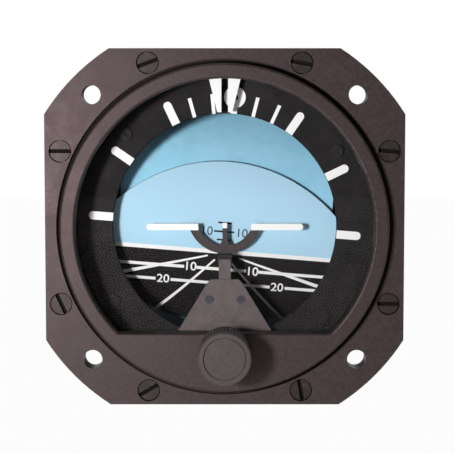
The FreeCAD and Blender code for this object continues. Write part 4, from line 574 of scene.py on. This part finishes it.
# Climb marks at 5, 10 and 15 degrees on the sky, and the figures of the middle one.
bm = bmesh.new()
for half, up in ((1.65, 2.1), (2.48, 4.15), (1.62, 6.3)):
    strip(bm, (-half, up), (half, up), 0.42, 0.42)
thicken(bm)
bar_mark("climb_lines", bm, "dial_black")

bm = bmesh.new()
for across in (-4.25, 4.3):
    numerals(bm, "10", (across, CLIMB_FIGURES_UP), SKY_FIGURE_SIZE, -0.01)
bar_mark("climb_figures", bm, "dial_black")

# White tip on the centre post of the aircraft symbol.
bm = bmesh.new()
strip(bm, (0, -0.75), (0, 0.55), 1.1, 1.1)
thicken(bm)
post_face = Matrix.Translation((0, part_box("symbol_wings")[1].y, 0))
bmesh.ops.transform(bm, matrix=post_face @ upright, verts=bm.verts)
piece("post_tip", bm, "symbol", "white_paint")


# ---------------------------------------------------------------- floor, lamps, camera

def lamp(name, place, size, power, colour):
    """A round lamp, sized in metres and powered in watts, that shines at the middle of the dial."""
    light = bpy.data.lights.new(name, "AREA")
    light.shape = "DISK"
    light.size = size
    light.energy = power
    light.color = colour
    holder = bpy.data.objects.new(name, light)
    holder.location = place
    holder.visible_camera = False
    holder.rotation_euler = (DIAL_AXIS - Vector(place)).to_track_quat("-Z", "Y").to_euler()
    bpy.context.scene.collection.objects.link(holder)


lamp("key_light", (-0.108, -0.232, 0.010), 0.035, 0.59, (1, 0.98, 0.96))
lamp("window_light", (-0.24, -0.53, -0.03), 0.14, 0.62, (0.78, 0.9, 1))

FLOOR_LEVEL = -0.17
FLOOR_HALF_WIDTH = 3
bm = bmesh.new()
bmesh.ops.create_grid(bm, x_segments=8, y_segments=8, size=FLOOR_HALF_WIDTH)
bmesh.ops.translate(bm, verts=bm.verts, vec=(0, 0, FLOOR_LEVEL))
floor_mesh = bpy.data.meshes.new("floor")
bm.to_mesh(floor_mesh)
bm.free()
floor = bpy.data.objects.new("floor", floor_mesh)
bpy.context.scene.collection.objects.link(floor)


def seen(finish, backdrop):
    """1 where the camera looks straight at it, and where a gloss or a glass shows the backdrop."""
    mirrored = finish.path("Is Glossy Ray", "Is Transmission Ray") * backdrop
    return finish.path("Is Camera Ray").math("MAXIMUM", mirrored)


ground = Finish("floor_finish")
pale = ground.blend(ground.grain(40, 2), (0.80, 0.80, 0.80), (0.84, 0.84, 0.84))
matt = ground.surface({"Base Color": pale, "Roughness": 0.9})
glow = ground.node("ShaderNodeEmission", None, {"Color": (1, 1, 1, 1), "Strength": 1.0})
floor_mesh.materials.append(ground.done(ground.node("ShaderNodeMixShader", None, {
    0: seen(ground, 1) * 0.97, 1: matt, 2: glow})))

AMBIENT = 0.12
studio = Finish("studio", bpy.data.worlds, "Generated")
backdrop = studio.node("ShaderNodeVectorMath", {"operation": "DOT_PRODUCT"}, {
    0: studio.place, 1: tuple(REARWARDS)}, "Value").step(-0.3, 0.4)
strength = AMBIENT + seen(studio, backdrop) * (1 - AMBIENT)
back = studio.node("ShaderNodeBackground", None, {"Color": (1, 1, 1, 1), "Strength": strength})
studio.node("ShaderNodeOutputWorld", None, {"Surface": back})
bpy.context.scene.world = studio.owner

camera_data = bpy.data.cameras.new("camera")
camera_data.lens = 117.2
camera_data.sensor_width = 36
camera_data.clip_start = 0.01
camera = bpy.data.objects.new("camera", camera_data)
aim = Vector((0.54, 0, 0.22)) * MM
elevation = math.radians(4.5)
distance = 0.35
camera.location = aim + Vector((0, -math.cos(elevation), math.sin(elevation))) * distance
camera.rotation_euler = (math.radians(90) - elevation, 0, 0)
bpy.context.scene.collection.objects.link(camera)
bpy.context.scene.camera = camera
bpy.context.scene.view_settings.view_transform = "Standard"
